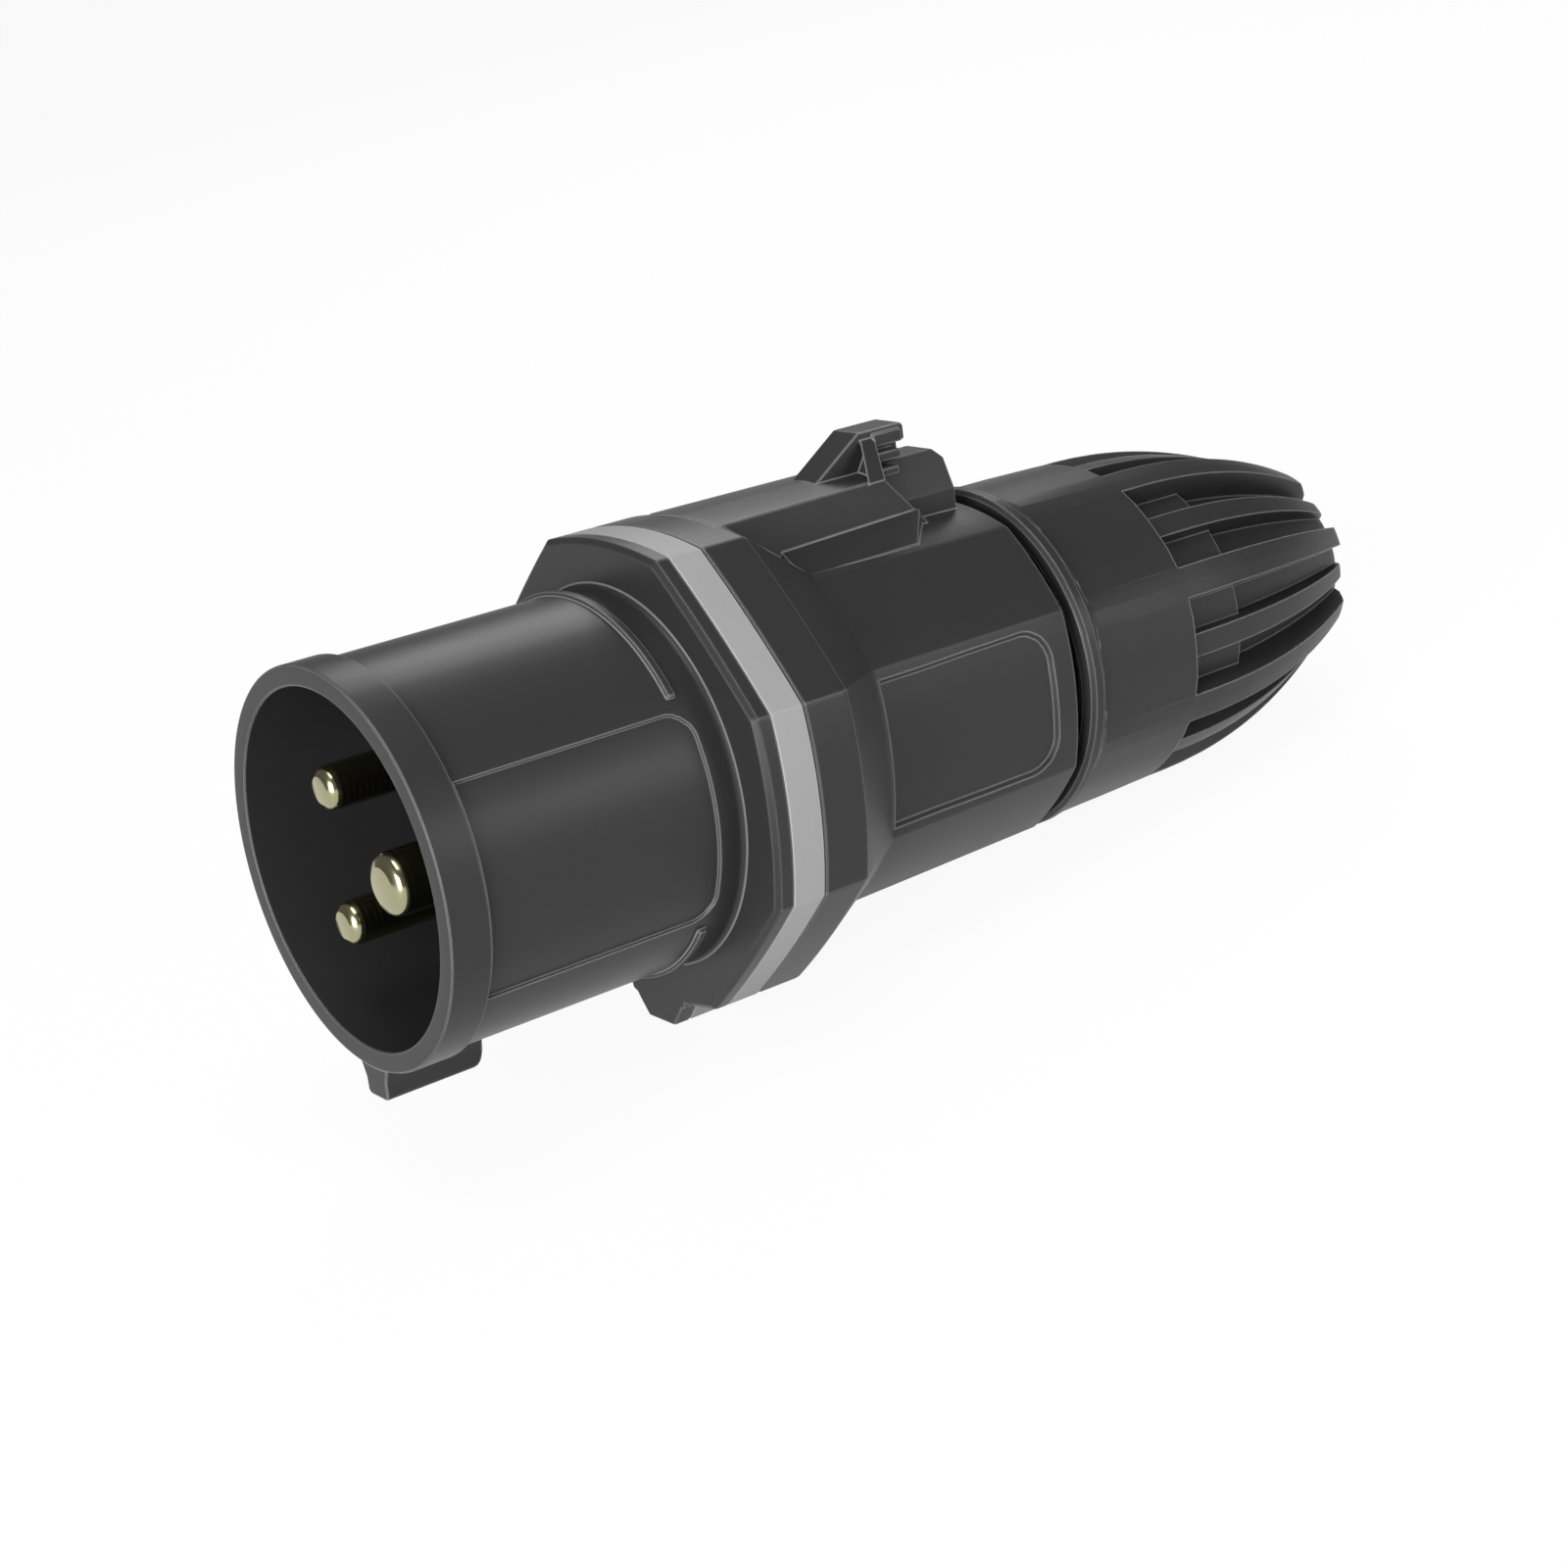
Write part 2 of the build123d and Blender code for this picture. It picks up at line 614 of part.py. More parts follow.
def all_parts():
    """Every piece by name, still straight along X."""
    parts = {
        "front_shroud": front_shroud(),
        "grey_ring": grey_ring(),
        "rear_housing": rear_housing(),
        "gland_nut": gland_nut(),
        "clamp_cage": clamp_cage(),
        "contact_carrier": contact_carrier(),
        "pin_retainer_plate": pin_retainer_plate(),
        "retainer_screw": retainer_screw(),
        "assembly_screws": assembly_screws(),
        "screw_washers": screw_washers(),
        "terminal_screws": terminal_screws(),
        "wire_guards": wire_guards(),
    }
    for name, sizes in PINS.items():
        parts[name] = pin(*sizes)
    parts.update(gland_parts())
    return parts


def laid_down(parts):
    """The pieces leaned back on lug and nut, the lug's rear edge at z = 0."""
    tilt = math.radians(REST_TILT)
    lug_rear_x = FLANGE_FRONT_X + FRONT_FLANGE_THICK + GREY_RING_THICK
    lift = lug_rear_x * math.sin(tilt) - LUG_BOTTOM_Z * math.cos(tilt)
    key_front = (KEY_BOTTOM_Z + 0.3) * math.sin(tilt)
    nut_rear = NUT_END_X * math.cos(tilt) + NUT_TIP_R * math.sin(tilt)
    place = Pos(-(key_front + nut_rear) / 2, 0, lift) * Rot(0, REST_TILT, 0)
    return {name: place * shape for name, shape in parts.items()}


def main():
    os.makedirs("parts", exist_ok=True)
    for name, shape in laid_down(all_parts()).items():
        export_step(shape, f"parts/{name}.step")


main()
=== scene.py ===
# %% [markdown]
# # An industrial plug, lying where it was put down
# The real thing is a heavy-duty plug: a round shroud round three pins, two octagonal
# flanges with a grey ring between them, a rear housing with a catch nose on its back,
# and a finned nut that grips the cable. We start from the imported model, which is fixed,
# and build the visible pieces again with softer edges and better finishes.

# %% Load the fixed frame
import json
import math
import bpy
import numpy as np
from mathutils import Matrix, Vector


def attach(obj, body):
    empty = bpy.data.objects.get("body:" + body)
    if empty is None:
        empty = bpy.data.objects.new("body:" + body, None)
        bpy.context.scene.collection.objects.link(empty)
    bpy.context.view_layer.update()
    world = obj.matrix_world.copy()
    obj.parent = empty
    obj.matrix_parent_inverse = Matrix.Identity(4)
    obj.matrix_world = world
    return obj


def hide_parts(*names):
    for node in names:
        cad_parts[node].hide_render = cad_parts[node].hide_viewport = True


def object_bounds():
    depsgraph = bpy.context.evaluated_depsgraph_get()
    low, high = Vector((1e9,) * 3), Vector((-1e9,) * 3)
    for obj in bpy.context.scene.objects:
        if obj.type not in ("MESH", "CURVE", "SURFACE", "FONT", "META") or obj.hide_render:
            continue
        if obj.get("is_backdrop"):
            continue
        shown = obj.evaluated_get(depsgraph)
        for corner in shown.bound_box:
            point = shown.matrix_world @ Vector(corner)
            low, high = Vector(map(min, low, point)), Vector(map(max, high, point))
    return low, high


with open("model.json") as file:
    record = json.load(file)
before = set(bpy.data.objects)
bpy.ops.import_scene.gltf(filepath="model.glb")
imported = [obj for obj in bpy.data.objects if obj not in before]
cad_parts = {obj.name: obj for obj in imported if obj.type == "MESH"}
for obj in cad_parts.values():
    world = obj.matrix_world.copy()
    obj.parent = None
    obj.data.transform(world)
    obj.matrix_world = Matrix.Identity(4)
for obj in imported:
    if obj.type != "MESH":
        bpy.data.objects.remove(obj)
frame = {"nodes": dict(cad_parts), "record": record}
cad_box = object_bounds()
MM = 0.001
print("nodes", len(frame["nodes"]))

# %% [markdown]
# The plug leans back on its lug and on the nut, so its own axis is tilted. It is far
# easier to model it straight: the mouth at x = 0, the axis along X, sizes in
# millimetres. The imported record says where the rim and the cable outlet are, and that
# gives the one matrix that lays each finished piece down.

# %% Where the plug lies
MOUNTS = {mount["name"]: mount for mount in frame["record"]["mounts"]}
AXIS = Vector(MOUNTS["cable_outlet"]["axis"]).normalized()
TILT = math.atan2(-AXIS.z, AXIS.x)
RIM_MIDDLE = 2.75 * MM
MOUTH = Vector(MOUNTS["shroud_rim"]["pos_m"]) - RIM_MIDDLE * AXIS
LIE_DOWN = Matrix.Translation(MOUTH) @ Matrix.Rotation(TILT, 4, "Y")
print("tilt", round(math.degrees(TILT), 2))

# %% [markdown]
# Most pieces of the plug are tubes whose section changes along the axis. A flat grid is
# the easiest start for such a shape: each row of the grid becomes one ring round the
# axis. Once the rows are in place, the seam is merged and the shell is closed.

# %% Wrapping a grid round the axis
def only(piece):
    """Selects one piece and makes it active."""
    bpy.ops.object.select_all(action="DESELECT")
    piece.select_set(True)
    bpy.context.view_layer.objects.active = piece


def wrapped(name, rings):
    """A shell from rings of (x, y, z) points in millimetres, each ring the same length."""
    rows = [list(ring) + [ring[0]] for ring in rings]
    bpy.ops.object.select_all(action="DESELECT")
    bpy.ops.mesh.primitive_grid_add(x_subdivisions=len(rows[0]) - 1, y_subdivisions=len(rows) - 1, size=1)
    piece = bpy.context.object
    piece.name = piece.data.name = name
    piece.data.vertices.foreach_set("co", (np.array(rows, float) * MM).ravel())
    bpy.ops.object.mode_set(mode="EDIT")
    bpy.ops.mesh.select_all(action="SELECT")
    bpy.ops.mesh.remove_doubles(threshold=2e-6)
    bpy.ops.mesh.normals_make_consistent(inside=False)
    bpy.ops.object.mode_set(mode="OBJECT")
    print(name, len(piece.data.polygons), "faces")
    return piece


# %% [markdown]
# A ring is round, or it is a polygon whose sides bulge a little, as the flanges and the
# housing have. Both are given with the same number of points, and the points follow the
# polygon's corners, so that a crease runs clean from one section to the next. Two points
# stand close to each corner, so that the crease is crisp and only its edge is rounded.

# %% Round and crowned rings
SIDE_SHARES = [0.0, 0.02] + [0.06 + 0.88 * k / 15 for k in range(16)] + [0.98]
FLANGE_CORNERS = [22.5 + 45 * k for k in range(8)]
BODY_CORNERS = [26, 59, 121, 154, 206, 239, 301, 334]


def side_angles(corners):
    """Start and span of each side of a polygon with these corner angles."""
    for k, start in enumerate(corners):
        yield start, (corners[(k + 1) % len(corners)] - start) % 360


def crowned(x, corners, corner_r, drops):
    """A ring whose sides are arcs; drops says how much lower a side's middle is."""
    ring = []
    for (start, span), drop in zip(side_angles(corners), drops):
        half = math.radians(span / 2)
        half_chord = corner_r * math.sin(half)
        rise = corner_r - drop - corner_r * math.cos(half)
        bulge_r = (half_chord**2 + rise**2) / (2 * rise)
        swing = math.asin(half_chord / bulge_r)
        middle = math.radians(start) + half
        for share in SIDE_SHARES:
            turn = swing * (2 * share - 1)
            out = corner_r - drop - bulge_r * (1 - math.cos(turn))
            along = bulge_r * math.sin(turn)
            ring.append((
                x,
                out * math.cos(middle) - along * math.sin(middle),
                out * math.sin(middle) + along * math.cos(middle),
            ))
    return ring


def round_ring(x, radius, corners=FLANGE_CORNERS):
    """A circle whose points stand at the same angles as a crowned ring's."""
    ring = []
    for start, span in side_angles(corners):
        for share in SIDE_SHARES:
            angle = math.radians(start + span * share)
            ring.append((x, radius * math.cos(angle), radius * math.sin(angle)))
    return ring


NEARLY_STRAIGHT = math.radians(174)
EASING_STEPS = 3


def eased(points, radius):
    """The same outline with its corners rounded off. A point on a straight run stays."""
    out = []
    for before, here, after in zip(points[-1:] + points[:-1], points, points[1:] + points[:1]):
        here, before, after = Vector(here), Vector(before), Vector(after)
        to_before, to_after = before - here, after - here
        if min(to_before.length, to_after.length) < 1e-6:
            continue
        if to_before.angle(to_after) > NEARLY_STRAIGHT:
            out.append(tuple(here))
            continue
        reach = min(radius, to_before.length * 0.45, to_after.length * 0.45)
        first = here + to_before.normalized() * reach
        last = here + to_after.normalized() * reach
        for k in range(EASING_STEPS + 1):
            t = k / EASING_STEPS
            out.append(tuple((1 - t) ** 2 * first + 2 * t * (1 - t) * here + t * t * last))
    return out


# %% [markdown]
# Small blocks such as the key, the lug and the catch nose are cut from flat outlines
# and pushed through. Each one starts as a filled circle with as many points as its
# outline has, is extruded, and gets its edges bevelled as a mould would leave them.

# %% Blocks with soft edges
def mirrored(half):
    """A whole outline from its half on the +Y side, listed from the bottom up."""
    return [(-y, z) for y, z in half] + half[::-1]


def block(name, outline, start, stop, across="X", bevel=0.0):
    """A prism between two planes. The outline is (y, z) along X, or (x, z) across Y."""
    bpy.ops.object.select_all(action="DESELECT")
    bpy.ops.mesh.primitive_circle_add(vertices=len(outline), radius=1, fill_type="NGON")
    piece = bpy.context.object
    piece.name = piece.data.name = name
    for vertex, (a, b) in zip(piece.data.vertices, outline):
        place = (start, a, b) if across == "X" else (a, start, b)
        vertex.co = Vector(place) * MM
    push = (stop - start) * MM
    move = (push, 0, 0) if across == "X" else (0, push, 0)
    bpy.ops.object.mode_set(mode="EDIT")
    bpy.ops.mesh.select_all(action="SELECT")
    bpy.ops.mesh.extrude_region_move(TRANSFORM_OT_translate={"value": move})
    bpy.ops.mesh.select_all(action="SELECT")
    bpy.ops.mesh.normals_make_consistent(inside=False)
    bpy.ops.object.mode_set(mode="OBJECT")
    if bevel:
        soften(piece, bevel)
    print(name, len(piece.data.polygons), "faces")
    return piece


def soften(piece, width, angle=30):
    """Rounds every edge sharper than an angle."""
    only(piece)
    modifier = piece.modifiers.new("soft edges", "BEVEL")
    modifier.width = width * MM
    modifier.segments = 2
    modifier.limit_method = "ANGLE"
    modifier.angle_limit = math.radians(angle)
    bpy.ops.object.modifier_apply(modifier=modifier.name)


def joined(name, pieces):
    """Several blocks made into one piece."""
    only(pieces[0])
    for piece in pieces[1:]:
        piece.select_set(True)
    bpy.ops.object.join()
    pieces[0].name = pieces[0].data.name = name
    return pieces[0]


# %% [markdown]
# Where a face that two blocks share can be seen, no seam may cross it, so they are united
# into one solid. Elsewhere blocks that run into each other are simply joined.

# %% Uniting two solids
def unite(piece, other):
    """Adds another solid to a piece."""
    only(piece)
    modifier = piece.modifiers.new("one solid", "BOOLEAN")
    modifier.operation = "UNION"
    modifier.solver = "EXACT"
    modifier.object = other
    bpy.ops.object.modifier_apply(modifier=modifier.name)
    bpy.data.objects.remove(other)
    print(piece.name, "united,", len(piece.data.polygons), "faces")


# %% [markdown]
# Every finished piece ends the same way: its normals are weighted by face, so that flat
# faces look flat beside their small bevels, it is laid down with its place in its mesh,
# and it is tied to the body it moves with.

# %% Finishing a piece
def finish_piece(piece, body, material, nodes, smooth_angle=35):
    """Smooths, lays down and ties a piece to its body."""
    only(piece)
    bpy.ops.object.shade_smooth_by_angle(angle=math.radians(smooth_angle))
    weighted = piece.modifiers.new("flat faces stay flat", "WEIGHTED_NORMAL")
    weighted.keep_sharp = True
    bpy.ops.object.modifier_apply(modifier=weighted.name)
    piece.data.transform(LIE_DOWN)
    piece.data.materials.clear()
    piece.data.materials.append(material)
    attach(piece, body)
    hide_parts(*nodes)
    print(piece.name, "rides on", body)


# %% [markdown]
# ## Finishes
# The colours are written as on a paint card and turned to linear light by one function,
# and one more function adds a shader node with its settings and links.

# %% Colour and node helpers
def linear(hex_colour):
    """An sRGB hex colour as linear RGBA."""
    values = [int(hex_colour[k:k + 2], 16) / 255 for k in (0, 2, 4)]
    return [v / 12.92 if v <= 0.04045 else ((v + 0.055) / 1.055) ** 2.4 for v in values] + [1.0]


def add_node(tree, kind, settings=None, links=None):
    """Adds a node; settings set its sockets or properties, links feed its inputs."""
    node = tree.nodes.new(kind)
    for key, value in (settings or {}).items():
        if isinstance(key, int) or key in node.inputs:
            node.inputs[key].default_value = value
        else:
            setattr(node, key, value)
    for key, source in (links or {}).items():
        tree.links.new(source, node.inputs[key])
    return node


def new_material(name):
    """An empty node material and its output node."""
    material = bpy.data.materials.new(name)
    material.use_nodes = True
    material.node_tree.nodes.clear()
    return material, material.node_tree


def per_metre(grain_mm):
    """The texture scale that gives a grain of this size."""
    return 1000.0 / grain_mm


# %% [markdown]
# The black parts are glass-filled polyamide from a spark-eroded mould. That leaves a
# very fine even grain, which scatters the light, so highlights are wide and soft and
# weaker than on polished plastic. Every edge gets a painted highlight: its colour is
# painted lighter, which draws the thin pale lines along the flanges, fields and ribs where
# light would catch the rounded edges. A bevelled copy of the normal finds those edges:
# where it turns away from the face's own normal, an edge is near.

# %% Moulded polyamide
# Edges within this radius get the painted highlight.
PAINTED_EDGE_MM = 0.32
FLOW_MARK_MM = 22.0


def moulded_plastic(name, colour, mottled, painted_edge_colour, roughness, grain_mm=0.35, bump=0.05):
    """Fine-grained moulded plastic with faint flow marks and a painted highlight along its edges."""
    material, tree = new_material(name)
    place = add_node(tree, "ShaderNodeTexCoord")
    grain = add_node(tree, "ShaderNodeTexNoise",
                     {"Scale": per_metre(grain_mm), "Detail": 3.0, "Roughness": 0.6},
                     {"Vector": place.outputs["Object"]})
    flow = add_node(tree, "ShaderNodeTexNoise",
                    {"Scale": per_metre(FLOW_MARK_MM), "Detail": 2.0},
                    {"Vector": place.outputs["Object"]})
    tone = add_node(tree, "ShaderNodeMix", {"data_type": "RGBA"}, {"Factor": flow.outputs["Fac"]})
    tone.inputs[6].default_value = linear(colour)
    tone.inputs[7].default_value = linear(mottled)
    # Painted highlight: near an edge the colour is mixed towards a lighter one, standing in for light caught
    # on the rounded edge.
    rounded = add_node(tree, "ShaderNodeBevel", {"samples": 4, "Radius": PAINTED_EDGE_MM * MM})
    surface = add_node(tree, "ShaderNodeNewGeometry")
    turned = add_node(tree, "ShaderNodeVectorMath", {"operation": "DOT_PRODUCT"},
                      {0: rounded.outputs["Normal"], 1: surface.outputs["True Normal"]})
    painted_highlight = add_node(tree, "ShaderNodeMapRange", {"From Min": 0.985, "From Max": 0.91, "To Max": 0.95},
                    {"Value": turned.outputs["Value"]})
    highlighted_tone = add_node(tree, "ShaderNodeMix", {"data_type": "RGBA"}, {"Factor": painted_highlight.outputs["Result"]})
    highlighted_tone.inputs[7].default_value = linear(painted_edge_colour)
    tree.links.new(tone.outputs[2], highlighted_tone.inputs[6])
    gloss = add_node(tree, "ShaderNodeMapRange",
                     {"To Min": roughness - 0.05, "To Max": roughness + 0.05},
                     {"Value": flow.outputs["Fac"]})
    relief = add_node(tree, "ShaderNodeBump", {"Strength": bump, "Distance": 0.0002},
                      {"Height": grain.outputs["Fac"]})
    shader = add_node(tree, "ShaderNodeBsdfPrincipled", {"IOR": 1.53, "Specular IOR Level": 0.2},
                      {"Base Color": highlighted_tone.outputs[2], "Roughness": gloss.outputs["Result"],
                       "Normal": relief.outputs["Normal"]})
    add_node(tree, "ShaderNodeOutputMaterial", None, {"Surface": shader.outputs["BSDF"]})
    return material


# Each plastic's fourth colour is its painted edge highlight.
black_polyamide = moulded_plastic("black moulded polyamide", "2a2a2b", "2e2e2f", "858587", 0.38)
grey_polyamide = moulded_plastic("grey moulded polyamide", "8f8f8f", "969696", "b0b0b0", 0.5,
                                 grain_mm=0.6, bump=0.12)
dark_polyamide = moulded_plastic("black insulating polyamide", "202021", "242425", "3c3c3e", 0.5)
pale_nylon = moulded_plastic("natural nylon", "d8d3c4", "ded9cb", "e8e4d8", 0.4)
print("plastics", black_polyamide.name, grey_polyamide.name, dark_polyamide.name, pale_nylon.name)

# %% [markdown]
# The pins are turned from brass bar and thinly nickelled, which gives a warm pale metal.
# Turning leaves fine rings round each pin. They are drawn three quarters of a millimetre
# apart, coarser than they are, because finer ones would not show.

# %% Turned metal and rubber
RING_PITCH_MM = 0.754
WAVE_PERIOD = math.tau / 20


def turned_metal(name, colour, roughness):
    """Metal turned on a lathe, with fine rings across the plug's axis."""
    material, tree = new_material(name)
    place = add_node(tree, "ShaderNodeTexCoord")
    along = add_node(tree, "ShaderNodeMapping", {"Rotation": (0, -TILT, 0)},
                     {"Vector": place.outputs["Object"]})
    rings = add_node(tree, "ShaderNodeTexWave",
                     {"Scale": WAVE_PERIOD * per_metre(RING_PITCH_MM), "Distortion": 0.4, "Detail": 2.0,
                      "wave_type": "BANDS", "bands_direction": "X"},
                     {"Vector": along.outputs["Vector"]})
    gloss = add_node(tree, "ShaderNodeMapRange",
                     {"To Min": roughness - 0.04, "To Max": roughness + 0.06},
                     {"Value": rings.outputs["Fac"]})
    relief = add_node(tree, "ShaderNodeBump", {"Strength": 0.02, "Distance": 0.000004},
                      {"Height": rings.outputs["Fac"]})
    shader = add_node(tree, "ShaderNodeBsdfPrincipled",
                      {"Base Color": linear(colour), "Metallic": 1.0},
                      {"Roughness": gloss.outputs["Result"], "Normal": relief.outputs["Normal"]})
    add_node(tree, "ShaderNodeOutputMaterial", None, {"Surface": shader.outputs["BSDF"]})
    return material


pin_metal = turned_metal("thinly nickelled turned brass", "a8a584", 0.2)
screw_steel = turned_metal("zinc plated steel", "b9bcc0", 0.32)
leaf_steel = turned_metal("bright spring steel", "a9abad", 0.25)
# Its fourth colour is the painted edge highlight too.
seal_rubber = moulded_plastic("black seal rubber", "161616", "1b1b1b", "2a2a2a", 0.7,
                              grain_mm=0.8, bump=0.1)
print("metals", pin_metal.name, screw_steel.name, leaf_steel.name, "and", seal_rubber.name)

# %% [markdown]
# ## The shroud
# A turned piece is drawn once as a closed outline of (x, radius) points. Its corners are
# eased, and each point becomes a ring.

# %% Outlines along the axis
def lathe_rings(outline, radius, ring_at=round_ring):
    """Rings from a closed (x, radius) outline with eased corners."""
    soft = eased([(x, r, 0.0) for x, r in outline], radius)
    return [ring_at(x, r) for x, r, _ in soft + soft[:1]]


def with_stations(outline, first, second, stations):
    """The outline with more points between two of its neighbours, for later shaping."""
    place = outline.index(first) + 1
    x0, r0 = first
    x1, r1 = second
    extra = [(x, r0 + (r1 - r0) * (x - x0) / (x1 - x0)) for x in stations]
    return outline[:place] + extra + outline[place:]


# %% [markdown]
# The side fields are sunk with an inset. Before that, bisecting planes cut the faces along
# the field's straight edges and round its corners, so that its border is clean.

# %% Sunk fields with round corners
def select_faces(piece, wanted):
    """Leaves edit mode on with only the wanted faces selected."""
    only(piece)
    bpy.context.tool_settings.mesh_select_mode = (False, False, True)
    bpy.ops.object.mode_set(mode="EDIT")
    bpy.ops.mesh.select_all(action="DESELECT")
    bpy.ops.object.mode_set(mode="OBJECT")
    for face in piece.data.polygons:
        face.select = wanted(face.center / MM, face.normal)
    bpy.ops.object.mode_set(mode="EDIT")


def select_edges(piece, wanted):
    """Leaves edit mode on with only the wanted edges selected, given by their two ends."""
    only(piece)
    bpy.context.tool_settings.mesh_select_mode = (False, True, False)
    bpy.ops.object.mode_set(mode="EDIT")
    bpy.ops.mesh.select_all(action="DESELECT")
    bpy.ops.object.mode_set(mode="OBJECT")
    for edge in piece.data.edges:
        edge.select = wanted([piece.data.vertices[k].co / MM for k in edge.vertices])
    bpy.ops.object.mode_set(mode="EDIT")


CORNER_CUTS = (15, 30, 45, 60, 75)
FACES_SIDEWAYS = 0.3
OUTER_Y = 15


def sink_field(piece, side, front, rear, half, corner, depth, wall=0.12):
    """Sinks a field in the side of a piece; its rear corners are round."""
    for up in (1, -1):
        select_faces(piece, lambda c, n: c.y * side > 0 and n.y * side > FACES_SIDEWAYS
                     and front < c.x < rear and abs(c.z * up - half) < 2.5)
        bpy.ops.mesh.bisect(plane_co=(0, 0, up * half * MM), plane_no=(0, 0, up))
        bpy.ops.object.mode_set(mode="OBJECT")
        middle = Vector((rear - corner, 0, up * (half - corner)))
        for angle in CORNER_CUTS:
            turn = math.radians(angle)
            normal = Vector((math.cos(turn), 0, up * math.sin(turn)))
            select_faces(piece, lambda c, n: c.y * side > 0 and n.y * side > FACES_SIDEWAYS
                         and middle.x - 1 < c.x < rear and middle.z * up - 1 < c.z * up < half)
            bpy.ops.mesh.bisect(plane_co=(middle + corner * normal) * MM, plane_no=normal)
            bpy.ops.object.mode_set(mode="OBJECT")

    def inside(c, n):
        past_x = max(c.x - (rear - corner), 0)
        past_z = max(abs(c.z) - (half - corner), 0)
        in_corner = past_x == 0 or past_z == 0 or math.hypot(past_x, past_z) < corner
        in_field = front < c.x < rear and abs(c.z) < half and in_corner
        return in_field and c.y * side > OUTER_Y and n.y * side > FACES_SIDEWAYS

    select_faces(piece, inside)
    bpy.ops.mesh.inset(thickness=wall * MM, depth=-depth * MM)
    bpy.ops.object.mode_set(mode="OBJECT")


# %% [markdown]
# The shroud is one tube with a thicker rim. Its side fields lie a third of a millimetre
# lower than the tube and end in round corners near the flange.

# %% Shroud tube
BORE_R = 19.93
TUBE_R = 21.7
BAND_R = 22.3
BAND_END = 4.8
FIELD_END = 33.8
FIELD_CORNER = 3.0
FIELD_HALF_HEIGHT = TUBE_R * math.sin(math.radians(32.5))
FRONT_FLANGE = (37.0, 39.2)
GREY_RING = (39.2, 43.5)
REAR_FLANGE = (43.5, 49.3)

shroud_outline = [
    (0.0, BORE_R),
    (0.0, BAND_R),
    (BAND_END, BAND_R),
    (BAND_END + 0.1, TUBE_R),
    (36.55, TUBE_R),
    (37.05, TUBE_R + 0.45),
    (38.2, TUBE_R + 0.4),
    (38.2, TUBE_R - 0.9),
    (41.0, TUBE_R - 0.9),
    (41.0, BORE_R),
]
FIELD_STATIONS = (15.0, 24.0, FIELD_END - FIELD_CORNER, FIELD_END, 35.8)
shroud_outline = with_stations(shroud_outline, shroud_outline[3], shroud_outline[4], FIELD_STATIONS)
tube = wrapped("tube", lathe_rings(shroud_outline, 0.35))
for side in (-1, 1):
    sink_field(tube, side, BAND_END + 0.6, FIELD_END, FIELD_HALF_HEIGHT, FIELD_CORNER, depth=0.35)

# %% [markdown]
# Two thin arc-shaped ribs stand on the tube near the flange. A little rectangle is spun
# about the axis through the right angle, which is how a rib like this is turned in the
# mould.

# %% Arc ribs
def arc_rib(x0, x1, low, high, middle, half_angle):
    """A rib on the tube over part of a turn."""
    bpy.ops.object.select_all(action="DESELECT")
    bpy.ops.mesh.primitive_circle_add(vertices=4, radius=1, fill_type="NGON")
    rib = bpy.context.object
    start = Matrix.Rotation(math.radians(middle - half_angle), 4, "X")
    section = [(x0, low), (x1, low), (x1 - 0.1, high), (x0 + 0.1, high)]
    for vertex, (x, r) in zip(rib.data.vertices, section):
        vertex.co = start @ Vector((x, r, 0)) * MM
    bpy.ops.object.mode_set(mode="EDIT")
    bpy.ops.mesh.select_all(action="SELECT")
    bpy.ops.mesh.spin(steps=44, angle=-math.radians(2 * half_angle), center=(0, 0, 0), axis=(1, 0, 0))
    bpy.ops.mesh.select_all(action="SELECT")
    bpy.ops.mesh.normals_make_consistent(inside=False)
    bpy.ops.object.mode_set(mode="OBJECT")
    soften(rib, 0.15)
    return rib


RIB_HALF_ANGLE = 53.4
RIB_SPAN = (32.1, 33.2)
RIB_HEIGHT = 0.5
ribs = [arc_rib(*RIB_SPAN, TUBE_R - 0.3, TUBE_R + RIB_HEIGHT, middle, RIB_HALF_ANGLE) for middle in (90, 270)]

# %% [markdown]
# ## The flanges
# Both flanges and the grey ring share one rounded octagon. A thin shadow line runs
# between each two of them, so each plate has its own eased edges.

# %% Flange plates
FLANGE_CORNER_R = 27.85
FLANGE_DROPS = [1.75, 0.95] * 4
HOLE_R = 21.95
SHADOW_GAP = 0.04


def octagon(x, corner_r):
    """The flanges' section."""
    return crowned(x, FLANGE_CORNERS, corner_r, FLANGE_DROPS)


def plate(name, front, rear, hole_r, ease, chamfer=0.0):
    """An octagonal plate with a round hole, as rings along a closed outline."""
    outline = [(front, FLANGE_CORNER_R - chamfer), (rear, FLANGE_CORNER_R), (rear, hole_r), (front, hole_r)]
    if chamfer:
        outline.insert(1, (front + chamfer, FLANGE_CORNER_R))

    def ring_at(x, r):
        return octagon(x, r) if r > TUBE_R + 1 else round_ring(x, r)

    return wrapped(name, lathe_rings(outline, ease, ring_at))


front_plate = plate("front plate", *FRONT_FLANGE, TUBE_R - 0.1, ease=0.15, chamfer=0.6)

# %% [markdown]
# Below the flanges stands a stout lug with slanted sides. The same outline is pushed
# through twice: once in black, united with the front flange, and once as the grey ring's
# share. The key below the mouth is a narrow block with a rounded rear end.

